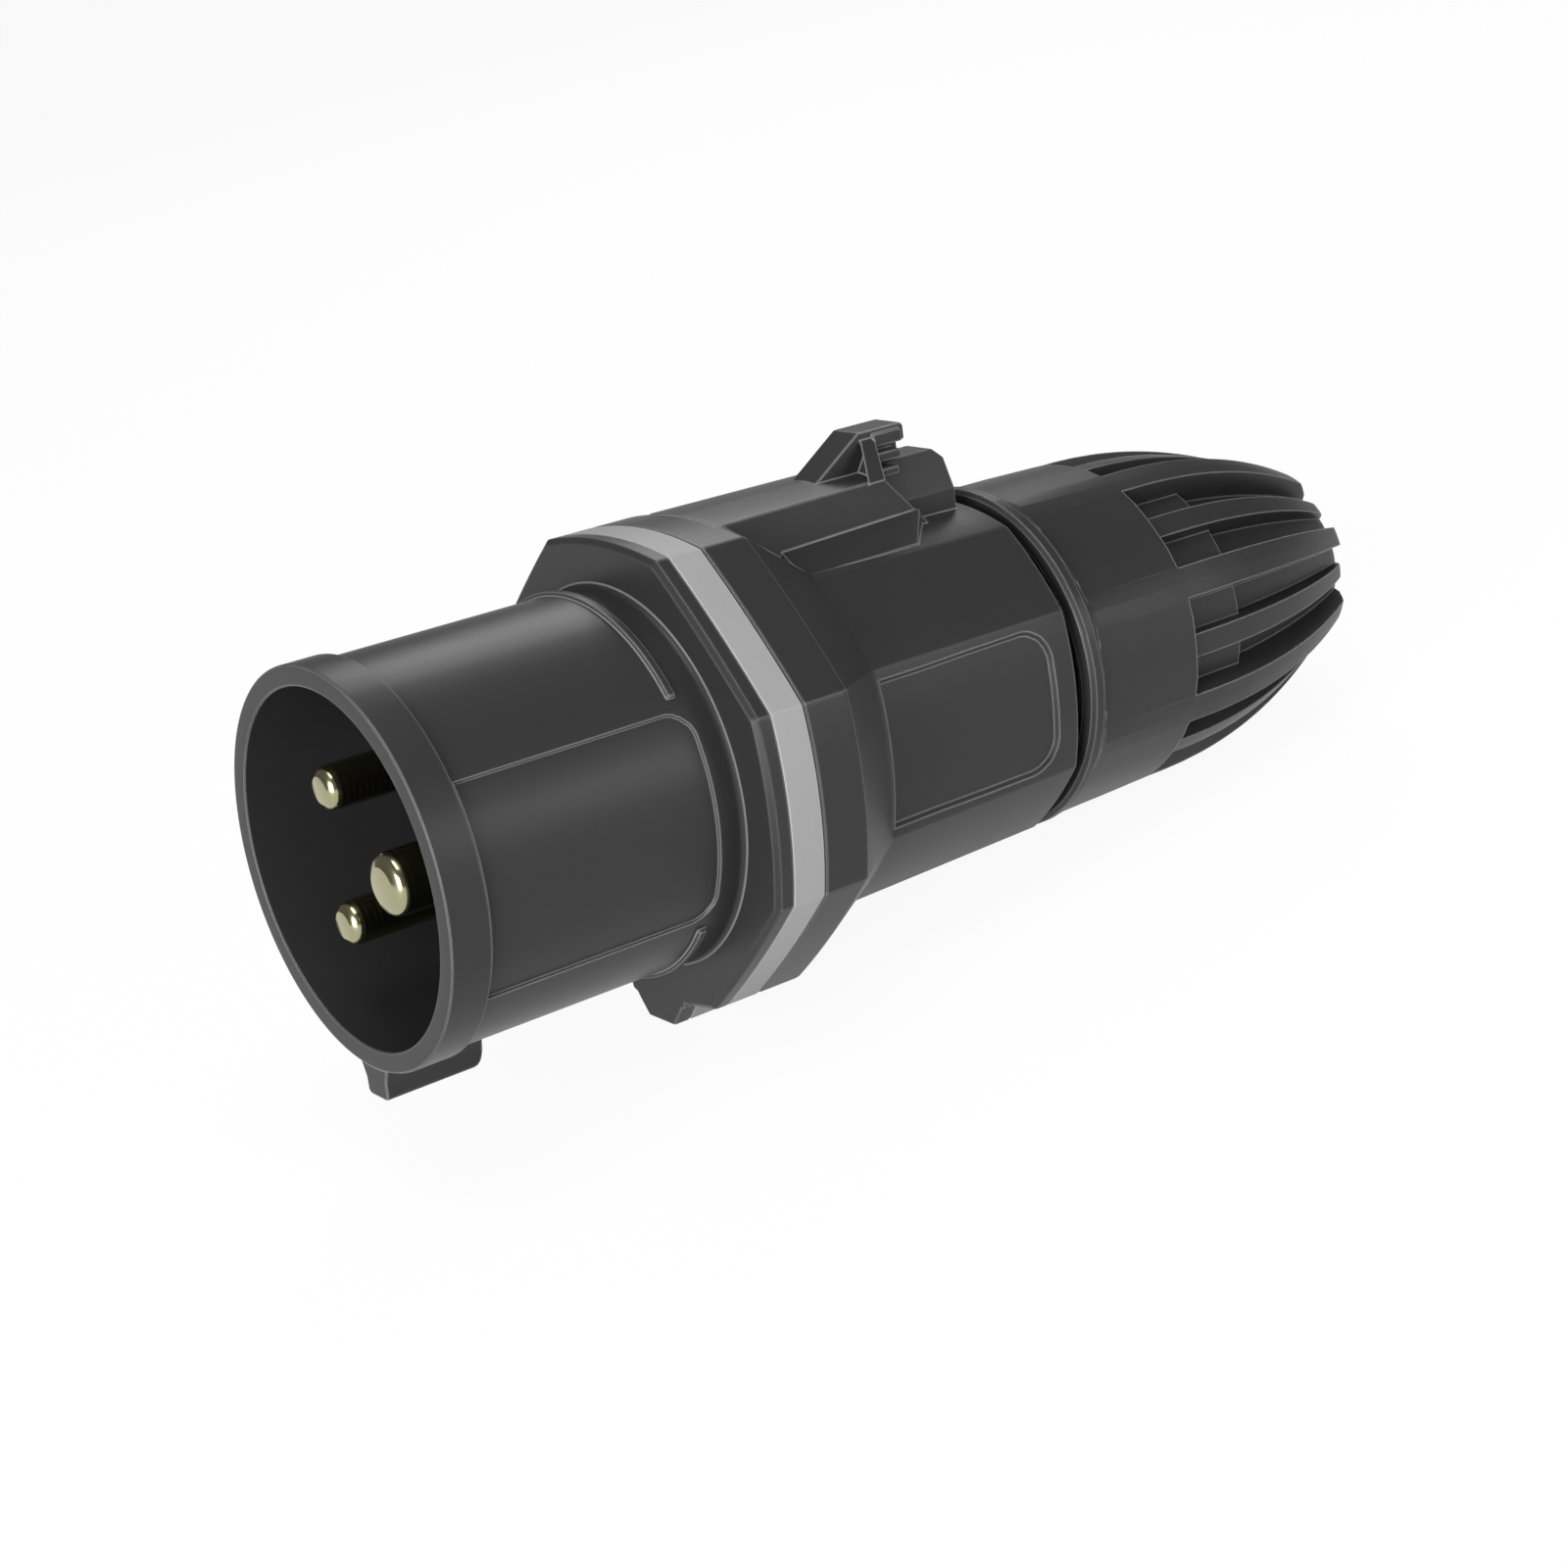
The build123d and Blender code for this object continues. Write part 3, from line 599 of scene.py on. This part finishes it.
# %% Lug and key
LUG_BOTTOM = -29.6
LUG_HALF = [(2.5, LUG_BOTTOM), (3.2, LUG_BOTTOM + 0.9), (4.0, -27.7), (4.4, -27.1)]
LUG_HALF += [(5.2, -26.8), (5.6, -24.0)]
front_lug = block("front lug", mirrored(LUG_HALF), *FRONT_FLANGE, bevel=0.25)
unite(front_plate, front_lug)
KEY_BOTTOM = -25.9
KEY_END = 12.4
KEY_END_ROUND = 1.1
KEY_HALF = [(1.7, KEY_BOTTOM), (2.1, KEY_BOTTOM + 0.4), (2.1, -24.0), (2.5, -22.9), (3.2, -21.5)]
key = block("key", mirrored(KEY_HALF), 0.25, KEY_END)
select_edges(key, lambda ends: all(end.x > KEY_END - 0.4 and end.z < KEY_BOTTOM + 0.5 for end in ends))
bpy.ops.mesh.bevel(offset=KEY_END_ROUND * MM, segments=4)
bpy.ops.object.mode_set(mode="OBJECT")
soften(key, 0.25)

shroud = joined("shroud", [tube, front_plate, key] + ribs)
finish_piece(shroud, "plug_body", black_polyamide, ["front_shroud"])

grey_lug = block("grey lug", mirrored(LUG_HALF), GREY_RING[0] + SHADOW_GAP, GREY_RING[1], bevel=0.25)
ring_plate = plate("ring plate", GREY_RING[0] + SHADOW_GAP, GREY_RING[1] - SHADOW_GAP, HOLE_R, ease=0.2)
marker_ring = joined("marker_ring", [ring_plate, grey_lug])
finish_piece(marker_ring, "plug_body", grey_polyamide, ["grey_ring"])

# %% [markdown]
# ## The rear housing
# Behind the flange the housing narrows in a slanted shoulder to a body with eight
# slightly bulging sides: wide ones on top, below and at the sides, narrow ones between.
# The rings follow those corners all the way, and the neck behind carries a thread.

# %% Housing shell
BODY_FRONT = (57.5, 22.2)
BODY_REAR = (86.3, 21.5)
RECESS_END = 48.0
NECK_R = 17.4
NECK_END = 100.0
NECK_BORE_R = 13.2
CAVITY_R = 18.8
CAVITY_END = 84.0
THREAD_PITCH = 2.0
THREAD_START = 89.0
THREAD_ROOT_R = NECK_R - 0.6
BODY_DROPS = [0.95 if span > 45 else 0.45 for start, span in side_angles(BODY_CORNERS)]


def body_ring(x, corner_r):
    """The housing's section at the body."""
    return crowned(x, BODY_CORNERS, corner_r, BODY_DROPS)


def body_corner_r(x):
    """The body tapers a little towards the nut."""
    share = (x - BODY_FRONT[0]) / (BODY_REAR[0] - BODY_FRONT[0])
    return BODY_FRONT[1] + share * (BODY_REAR[1] - BODY_FRONT[1])


def blended(ring_a, ring_b, share):
    """A ring part of the way from one to another."""
    return [tuple((1 - share) * a + share * b for a, b in zip(p, q)) for p, q in zip(ring_a, ring_b)]


flange_edge = octagon(REAR_FLANGE[1], FLANGE_CORNER_R)
body_edge = body_ring(*BODY_FRONT)
housing_rings = [
    round_ring(RECESS_END, HOLE_R),
    round_ring(REAR_FLANGE[0], HOLE_R),
    octagon(REAR_FLANGE[0] + SHADOW_GAP, FLANGE_CORNER_R - 0.4),
    octagon(REAR_FLANGE[0] + 0.15, FLANGE_CORNER_R - 0.1),
    octagon(REAR_FLANGE[0] + 0.4, FLANGE_CORNER_R),
    octagon(REAR_FLANGE[1] - 0.4, FLANGE_CORNER_R),
    octagon(REAR_FLANGE[1] - 0.1, FLANGE_CORNER_R - 0.05),
]
housing_rings += [blended(flange_edge, body_edge, share) for share in (0.02, 0.3, 0.6, 0.9, 0.985)]
FIELD_FRONT_X = 57.9
FIELD_REAR_X = 83.2
BODY_STATIONS = (BODY_FRONT[0] + 0.12, FIELD_FRONT_X, 64.0, 71.0, FIELD_REAR_X - 3.8, FIELD_REAR_X)
for x in BODY_STATIONS + (BODY_REAR[0] - 0.4,):
    housing_rings.append(body_ring(x, body_corner_r(x)))
housing_rings.append(body_ring(BODY_REAR[0] - 0.1, BODY_REAR[1] - 0.1))
housing_rings.append(body_ring(BODY_REAR[0], BODY_REAR[1] - 0.4))
housing_rings.append(round_ring(BODY_REAR[0], NECK_R, BODY_CORNERS))
thread_x = THREAD_START
while thread_x < NECK_END - THREAD_PITCH / 2:
    for offset, r in ((0.0, NECK_R), (0.3, THREAD_ROOT_R), (1.0, THREAD_ROOT_R), (1.3, NECK_R)):
        housing_rings.append(round_ring(thread_x + offset, r, BODY_CORNERS))
    thread_x += THREAD_PITCH
INSIDE = ((NECK_END, NECK_R), (NECK_END, NECK_BORE_R), (CAVITY_END, NECK_BORE_R),
          (CAVITY_END, CAVITY_R), (RECESS_END, CAVITY_R))
for x, r in INSIDE + ((RECESS_END, HOLE_R),):
    housing_rings.append(round_ring(x, r, BODY_CORNERS if x > RECESS_END else FLANGE_CORNERS))
housing_rings[-1] = housing_rings[0]
shell = wrapped("shell", housing_rings)
for side in (-1, 1):
    sink_field(shell, side, FIELD_FRONT_X, FIELD_REAR_X, half=8.6, corner=4.2, depth=0.5, wall=0.45)

# %% [markdown]
# On the housing's back a saddle carries the catch nose, which a socket's lid hooks on. It
# is a stack of plain blocks, and nearly all of them are outlines pushed through. Those
# drawn square to the axis are pushed along it, and those seen from the side across it.

# %% Saddle and slanted bands
def narrowed(piece, x_from, share):
    """Draws the faces behind a station in towards the middle plane."""
    select_faces(piece, lambda c, n: c.x > x_from and n.x > 0.9)
    bpy.ops.transform.resize(value=(1, share, 1), center_override=(0, 0, 0))
    bpy.ops.object.mode_set(mode="OBJECT")


def slanted_end(piece, point, normal):
    """Cuts a piece off along a slanted plane and closes the cut."""
    only(piece)
    bpy.ops.object.mode_set(mode="EDIT")
    bpy.ops.mesh.select_all(action="SELECT")
    bpy.ops.mesh.bisect(plane_co=Vector(point) * MM, plane_no=normal, use_fill=True, clear_outer=True)
    bpy.ops.mesh.select_all(action="SELECT")
    bpy.ops.mesh.normals_make_consistent(inside=False)
    bpy.ops.object.mode_set(mode="OBJECT")


saddle = block("saddle", mirrored([(7.1, 17.5), (6.6, 26.6), (3.3, 27.0), (0.01, 27.15)]), 48.6, 78.6)
narrowed(saddle, 78.0, 0.88)
slanted_end(saddle, (76.9, 0, 22.2), (5.8, 0, 0.9))
soften(saddle, 0.3)
bands = []
for side in (-1, 1):
    strip = [(side * 6.0, 22.1), (side * 10.4, 19.3), (side * 8.0, 16.5), (side * 6.0, 16.5)]
    band = block("band", strip, 56.8, 77.4)
    slanted_end(band, (77.3, side * 6.4, 22.0), (4.0, side * 2.9, 0))
    soften(band, 0.2)
    bands.append(band)

# %% [markdown]
# The nose rises as a thin ramp and ends in a square head. A column that flares to its foot
# props it at both sides, and three ridges behind it give a grip to the thumb.

# %% Catch nose
RAMP = [(65.7, 26.0), (65.7, 26.9), (72.7, 31.55), (79.0, 31.55)]
RAMP += [(79.4, 31.2), (79.4, 29.5), (74.5, 29.5), (74.5, 26.0)]
NOSE_HALF = 2.3
ramp = block("ramp", RAMP, -NOSE_HALF, NOSE_HALF, across="Y", bevel=0.22)
COLUMN_FOOT = (71.5, 2.6, 12.9, 26.4)
COLUMN_HEAD = (73.8, 2.2, 4.9, 30.6)


def column():
    """A block from a wide foot to the head, each (x, length, width, z), with a front pocket."""
    bpy.ops.object.select_all(action="DESELECT")
    bpy.ops.mesh.primitive_cube_add(size=1)
    piece = bpy.context.object
    for vertex in piece.data.vertices:
        middle, length, width, z = COLUMN_FOOT if vertex.co.z < 0 else COLUMN_HEAD
        vertex.co = Vector((middle + vertex.co.x * length, vertex.co.y * width, z)) * MM
    select_faces(piece, lambda c, n: n.x < -0.5)
    bpy.ops.mesh.inset(thickness=0.45 * MM, depth=-1.3 * MM)
    bpy.ops.object.mode_set(mode="OBJECT")
    soften(piece, 0.1)
    return piece


BACK = [(73.0, 25.0), (73.0, 29.8), (78.3, 29.8), (78.3, 25.0)]
RIDGES = ((29.5, 31.0, 74.5, 78.7, 2.75), (27.9, 29.0, 73.5, 77.4, 3.9), (26.5, 27.4, 72.6, 75.9, 5.2))
props = [column(), block("back", BACK, -2.1, 2.1, "Y", 0.15)]
for low, high, near, far, half in RIDGES:
    edge = [(near, low), (near, high), (far, high), (far, low)]
    props.append(block("ridge", edge, -half, half, "Y", 0.18))
FOOT_HALF = [(4.3, 17.5), (4.3, 22.85), (2.3, 27.5)]
nose_foot = block("nose foot", mirrored(FOOT_HALF), 74.8, 84.5)
slanted_end(nose_foot, (83.5, 0, 27.3), (5.3, 0, 1.0))
soften(nose_foot, 0.2, angle=15)
housing = joined("housing", [shell, saddle, ramp, nose_foot] + bands + props)
finish_piece(housing, "plug_body", black_polyamide, ["rear_housing"])

# %% [markdown]
# ## The gland nut
# The nut is a dome cut by eight deep fields. Between them stand the lands, blades of one
# width that end at the hull, and in the middle of each field stands a lower rib. One ring
# of points follows all those steps, and the same ring is repeated down the dome, so the
# whole nut is one wrapped grid. The blades and ribs grow thinner as the dome closes.

# %% Nut section
LAND_HALF = 1.95
RIB_HALF = 1.45
RIB_TOP_HALF = 0.75
FACET_ANGLE = 45.0
MID_FACET = FACET_ANGLE / 2
FACET_MIDDLE_R = 20.35
CREASE_RISE = 0.6
RING_END = 90.0
BARREL_START = 90.7
DOME_START = 107.5
FIELD_START = 105.9
FLOOR_STEP = 116.0
NUT_END = 142.0
DOME_ARC = [(DOME_START, 20.45), (126.0, 18.17), (141.3, 12.1)]


def along_points(x, points):
    """The radius at a station on a chain of straight (x, radius) runs."""
    return float(np.interp(x, [p[0] for p in points], [p[1] for p in points]))


def on_arc(x, points):
    """The radius at a station on the arc through three (x, radius) points."""
    (x0, r0), (x1, r1), (x2, r2) = points
    rows = np.array([[2 * (x1 - x0), 2 * (r1 - r0)], [2 * (x2 - x0), 2 * (r2 - r0)]])
    sums = np.array([x1**2 + r1**2 - x0**2 - r0**2, x2**2 + r2**2 - x0**2 - r0**2])
    cx, cr = np.linalg.solve(rows, sums)
    return float(cr + math.sqrt((x0 - cx) ** 2 + (r0 - cr) ** 2 - (x - cx) ** 2))


TIP_START = 140.4
TIP = [(TIP_START, on_arc(TIP_START, DOME_ARC)), (141.1, 11.7), (NUT_END, 10.3)]


def dome_r(x):
    """The dome's arc from its shoulder to the tip, whose edge is rounded off."""
    if x <= DOME_START:
        return along_points(x, [(BARREL_START, 20.95), (DOME_START, 20.45)])
    return on_arc(x, DOME_ARC) if x < TIP_START else along_points(x, TIP)


def hull_r(x, off_crease):
    """The dome or the slightly bulging facet, whichever is lower."""
    facet = FACET_MIDDLE_R + CREASE_RISE * (1 - off_crease / MID_FACET) ** 2
    return min(dome_r(x), facet)


def half_facet(x, floor, rib):
    """(angle from the crease, radius) from a crease to the middle of a field."""
    narrow = dome_r(x) / dome_r(DOME_START) if x > DOME_START else 1.0

    def lean(half_width, r):
        return math.degrees(math.asin(half_width * narrow / r))

    edge = lean(LAND_HALF, hull_r(x, 5.0))
    foot_r = floor or hull_r(x, 7.0)
    rib_foot_r = floor or hull_r(x, 18.0)
    rib_r = rib or hull_r(x, 20.0)
    foot = lean(LAND_HALF, foot_r)
    rib_foot = MID_FACET - lean(RIB_HALF, rib_foot_r)
    return [
        (0.0, hull_r(x, 0.0)),
        (edge / 2, hull_r(x, edge / 2)),
        (edge, hull_r(x, edge)),
        (foot + (0 if floor else 0.6), foot_r),
        ((foot + rib_foot) / 2, floor or hull_r(x, 12.0)),
        (rib_foot - (0 if floor else 0.6), rib_foot_r),
        (MID_FACET - lean(RIB_HALF, rib_r), rib_r),
        (MID_FACET - lean(RIB_TOP_HALF, rib_r), rib_r),
        (MID_FACET, rib_r),
    ]


def nut_ring(x, floor=None, rib=None, plain=None):
    """One ring of the nut; plain makes it a circle with the same number of points."""
    half = half_facet(x, floor, rib)
    facet = half + [(FACET_ANGLE - angle, r) for angle, r in half[-2:0:-1]]
    ring = []
    for k in range(8):
        for angle, r in facet:
            turn = math.radians(MID_FACET + FACET_ANGLE * k + angle)
            r = plain or r
            ring.append((x, r * math.cos(turn), r * math.sin(turn)))
    return ring


# %% [markdown]
# The floors of the fields drop a second time a good quarter of the way down, as the
# photograph shows between the lands. Two rings at one station make such a step. The
# creases between the barrel's facets are shallow, so they are marked sharp to stay crisp.

# %% Nut shell
RIB_ARC = [(DOME_START, 19.6), (126.0, 17.3), (143.0, 10.0)]
FLOOR_FRONT = [(FIELD_START, 17.8), (FLOOR_STEP, 17.6)]
FLOOR_ARC = [(FLOOR_STEP, 16.2), (128.0, 14.2), (143.0, 9.2)]


def field_ring(x):
    """A ring with its eight fields cut in."""
    rib = on_arc(max(x, DOME_START), RIB_ARC)
    floor = on_arc(x, FLOOR_ARC) if x > FLOOR_STEP else along_points(x, FLOOR_FRONT)
    return nut_ring(x, floor, rib)


FRONT_RING = ((88.2, 20.7), (88.35, 20.9), (88.7, 21.2), (RING_END - 0.15, 21.2), (RING_END, 21.1))
nut_rings = [nut_ring(x, plain=r) for x, r in FRONT_RING]
nut_rings += [nut_ring(x) for x in (BARREL_START, 91.2, 98.0, FIELD_START - 0.4, FIELD_START)]
nut_rings += [field_ring(x) for x in (FIELD_START + 0.05, 107.5, 109.5, 112.5, FLOOR_STEP)]
nut_rings += [field_ring(x) for x in [FLOOR_STEP + 0.05] + [116.5 + 1.65 * k for k in range(15)]]
nut_rings += [field_ring(x) for x in (TIP_START, 141.1)]
nut_rings.append(nut_ring(NUT_END - 0.1, 9.6, 10.1))
INNER = ((NUT_END, 8.5), (NUT_END - 0.5, 8.0), (138.0, 8.0), (107.0, 15.9), (104.2, 15.9),
         (104.2, 17.45), (90.8, 17.45), (90.8, 19.1), (88.2, 19.1), (88.2, 20.7))
nut_rings += [nut_ring(x, plain=r) for x, r in INNER]
nut = wrapped("nut", nut_rings)
soften(nut, 0.14, angle=38)


def on_crease(ends):
    """Whether an edge runs along a crease between two facets, on the outside."""
    return all(
        BARREL_START - 0.1 < end.x < TIP_START
        and math.hypot(end.y, end.z) > 12.0
        and abs(math.degrees(math.atan2(end.z, end.y)) % FACET_ANGLE - MID_FACET) < 0.01
        for end in ends
    )


select_edges(nut, on_crease)
bpy.ops.mesh.mark_sharp()
bpy.ops.object.mode_set(mode="OBJECT")
print("creases", sum(edge.use_edge_sharp for edge in nut.data.edges))
finish_piece(nut, "nut_body", black_polyamide, ["gland_nut"], smooth_angle=32)

# %% [markdown]
# ## The pins
# Each pin is turned from bar: a flat tip with a rounded shoulder, a straight contact
# length, a step at its root, and behind the carrier a thicker barrel for the wire. Half of
# its outline is a row of points that is wrapped round the pin's own axis.

# %% Contact pins
PIN_CIRCLE_R = 8.8
ROOT_X = 35.3
PINS = {"line": (2.5, 4.0, 1.7, 60), "neutral": (2.5, 4.0, 1.7, 300), "earth": (3.5, 4.6, 0.3, 180)}


def pin(name, radius, barrel_r, tip, angle):
    """A turned pin on its place on the pin circle."""
    outline = [(tip, 0.0), (tip, radius * 0.6), (tip + 0.03, radius * 0.63), (tip + 0.35, radius * 0.82),
               (tip + 0.6, radius * 0.91), (tip + 1.0, radius * 0.97), (tip + 1.8, radius),
               (ROOT_X, radius), (ROOT_X, radius + 0.3),
               (44.0, radius + 0.3), (44.0, barrel_r + 0.45), (46.95, barrel_r + 0.45), (46.95, barrel_r),
               (59.6, barrel_r), (60.0, barrel_r - 0.4), (60.0, barrel_r - 1.9), (49.0, barrel_r - 1.9),
               (48.0, 0.0)]
    y = PIN_CIRCLE_R * math.cos(math.radians(angle))
    z = PIN_CIRCLE_R * math.sin(math.radians(angle))
    rings = []
    for x, r in outline:
        turns = [math.tau * k / 64 for k in range(64)]
        rings.append([(x, y + r * math.cos(t), z + r * math.sin(t)) for t in turns])
    piece = wrapped(name + "_contact", rings)
    finish_piece(piece, "plug_body", pin_metal, [name + "_pin"], smooth_angle=25)


for name, sizes in PINS.items():
    pin(name, *sizes)

# %% [markdown]
# ## Pieces that stay as packed
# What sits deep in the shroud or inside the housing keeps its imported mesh, which is never
# changed. Each gets the material of the real piece.

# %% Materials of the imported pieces
KEPT = {
    "contact_carrier": dark_polyamide,
    "pin_retainer_plate": dark_polyamide,
    "clamp_cage": dark_polyamide,
    "retainer_screw": screw_steel,
    "assembly_screws": screw_steel,
    "screw_washers": screw_steel,
    "terminal_screws": screw_steel,
    "wire_guards": leaf_steel,
    "thrust_washer": pale_nylon,
    "cable_seal": seal_rubber,
    "seal_core": seal_rubber,
    "neck_seal": seal_rubber,
    "housing_seal": seal_rubber,
}
for name, material in KEPT.items():
    node = frame["nodes"][name]
    node.data.materials.clear()
    node.data.materials.append(material)
print("kept", len(KEPT), "packed pieces")

# %% [markdown]
# ## Floor, light and camera
# A pale floor reaches past the picture on all sides. To the camera it is mostly its own
# pale light, so that it is even, and partly a plain diffuse surface, so that the plug's
# shadow stays on it.

# %% Floor
FLOOR_SIZE = 12
GLOW_SHARE = 0.93


def pale_paper():
    """White paper that is seen nearly evenly white and still takes a shadow."""
    material, tree = new_material("white background paper")
    rays = add_node(tree, "ShaderNodeLightPath")
    seen = add_node(tree, "ShaderNodeMath", {"operation": "MAXIMUM"},
                    {0: rays.outputs["Is Camera Ray"], 1: rays.outputs["Is Glossy Ray"]})
    either = add_node(tree, "ShaderNodeMath", {"operation": "MAXIMUM"},
                      {0: seen.outputs[0], 1: rays.outputs["Is Transmission Ray"]})
    share = add_node(tree, "ShaderNodeMath", {"operation": "MULTIPLY", 1: GLOW_SHARE},
                     {0: either.outputs[0]})
    paper = add_node(tree, "ShaderNodeBsdfDiffuse", {"Color": linear("f4f4f4")})
    glow = add_node(tree, "ShaderNodeEmission", {"Color": linear("ffffff"), "Strength": 1.0})
    mixed = add_node(tree, "ShaderNodeMixShader", None,
                     {0: share.outputs[0], 1: paper.outputs[0], 2: glow.outputs[0]})
    add_node(tree, "ShaderNodeOutputMaterial", None, {"Surface": mixed.outputs[0]})
    return material


bpy.ops.object.select_all(action="DESELECT")
bpy.ops.mesh.primitive_plane_add(size=FLOOR_SIZE, location=(0, 0, 0))
floor = bpy.context.object
floor.name = "floor"
floor.data.materials.append(pale_paper())
floor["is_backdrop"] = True
print("floor", FLOOR_SIZE, "metres wide")

# %% [markdown]
# A large soft lamp above lights the tops of the facets. One behind and one at the side
# draw the two long soft streaks on the round shroud, and one in front lights the inside
# of its mouth.

# %% Lamps and world
ROOM_LIGHT = 0.18
LAMP_AIM = Vector((0, 0, 0.03))


def soft_lamp(name, place, size, power):
    """A square area lamp that faces the middle of the plug."""
    bpy.ops.object.light_add(type="AREA", location=place)
    lamp = bpy.context.object
    lamp.name = name
    lamp.data.size = size
    lamp.data.energy = power
    aim = LAMP_AIM - Vector(place)
    lamp.rotation_euler = aim.to_track_quat("-Z", "Y").to_euler()


soft_lamp("top lamp", (-0.05, -0.15, 0.8), 0.5, 3.6)
soft_lamp("rear lamp", (0.44, 0.48, 0.5), 0.3, 1.5)
soft_lamp("side lamp", (0.48, -0.7, 0.22), 0.3, 2.0)
soft_lamp("front lamp", (-0.8, -0.38, 0.25), 0.5, 9.0)
world = bpy.data.worlds.new("soft room")
world.use_nodes = True
background = world.node_tree.nodes["Background"]
background.inputs["Color"].default_value = linear("ffffff")
background.inputs["Strength"].default_value = ROOM_LIGHT
bpy.context.scene.world = world
bpy.context.scene.view_settings.view_transform = "Standard"

# %% [markdown]
# The camera stands where the photographer's did: to the front and side of the plug, a
# little above it and slightly rolled. It is placed in the plug's straight frame and then
# laid down with the plug.

# %% Camera
CAMERA_AZIMUTH = math.radians(-35.3)
CAMERA_ELEVATION = math.radians(17.54)
CAMERA_ROLL = math.radians(-7.01)
FOCAL_PIXELS = 2948.7
PICTURE_PIXELS = 1600
SENSOR_WIDTH = 36
LOOK_AT = Vector((60, 0, 0))
DISTANCE = 334.7
STEP_LEFT = 0.7
STEP_DOWN = 7.2
back = Vector((
    math.sin(CAMERA_AZIMUTH) * math.cos(CAMERA_ELEVATION),
    -math.cos(CAMERA_AZIMUTH) * math.cos(CAMERA_ELEVATION),
    math.sin(CAMERA_ELEVATION),
))
right = Vector((0, 0, 1)).cross(back).normalized()
up = back.cross(right)
rolled_right = math.cos(CAMERA_ROLL) * right + math.sin(CAMERA_ROLL) * up
rolled_up = math.cos(CAMERA_ROLL) * up - math.sin(CAMERA_ROLL) * right
place = (LOOK_AT + DISTANCE * back - STEP_LEFT * rolled_right - STEP_DOWN * rolled_up) * MM
stand = Matrix((rolled_right, rolled_up, back)).transposed().to_4x4()
bpy.ops.object.camera_add()
camera = bpy.context.object
camera.data.sensor_width = SENSOR_WIDTH
camera.data.lens = SENSOR_WIDTH * FOCAL_PIXELS / PICTURE_PIXELS
camera.data.clip_start = 0.01
camera.matrix_world = LIE_DOWN @ Matrix.Translation(place) @ stand
bpy.context.scene.camera = camera
print("camera at", [round(value, 3) for value in camera.matrix_world.translation])

# %% [markdown]
# Last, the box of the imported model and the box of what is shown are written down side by
# side, so that they can be compared.

# %% Sizes and the end
shown_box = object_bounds()
sizes = {"cad": [list(corner) for corner in cad_box], "visual": [list(corner) for corner in shown_box]}
print(sizes)
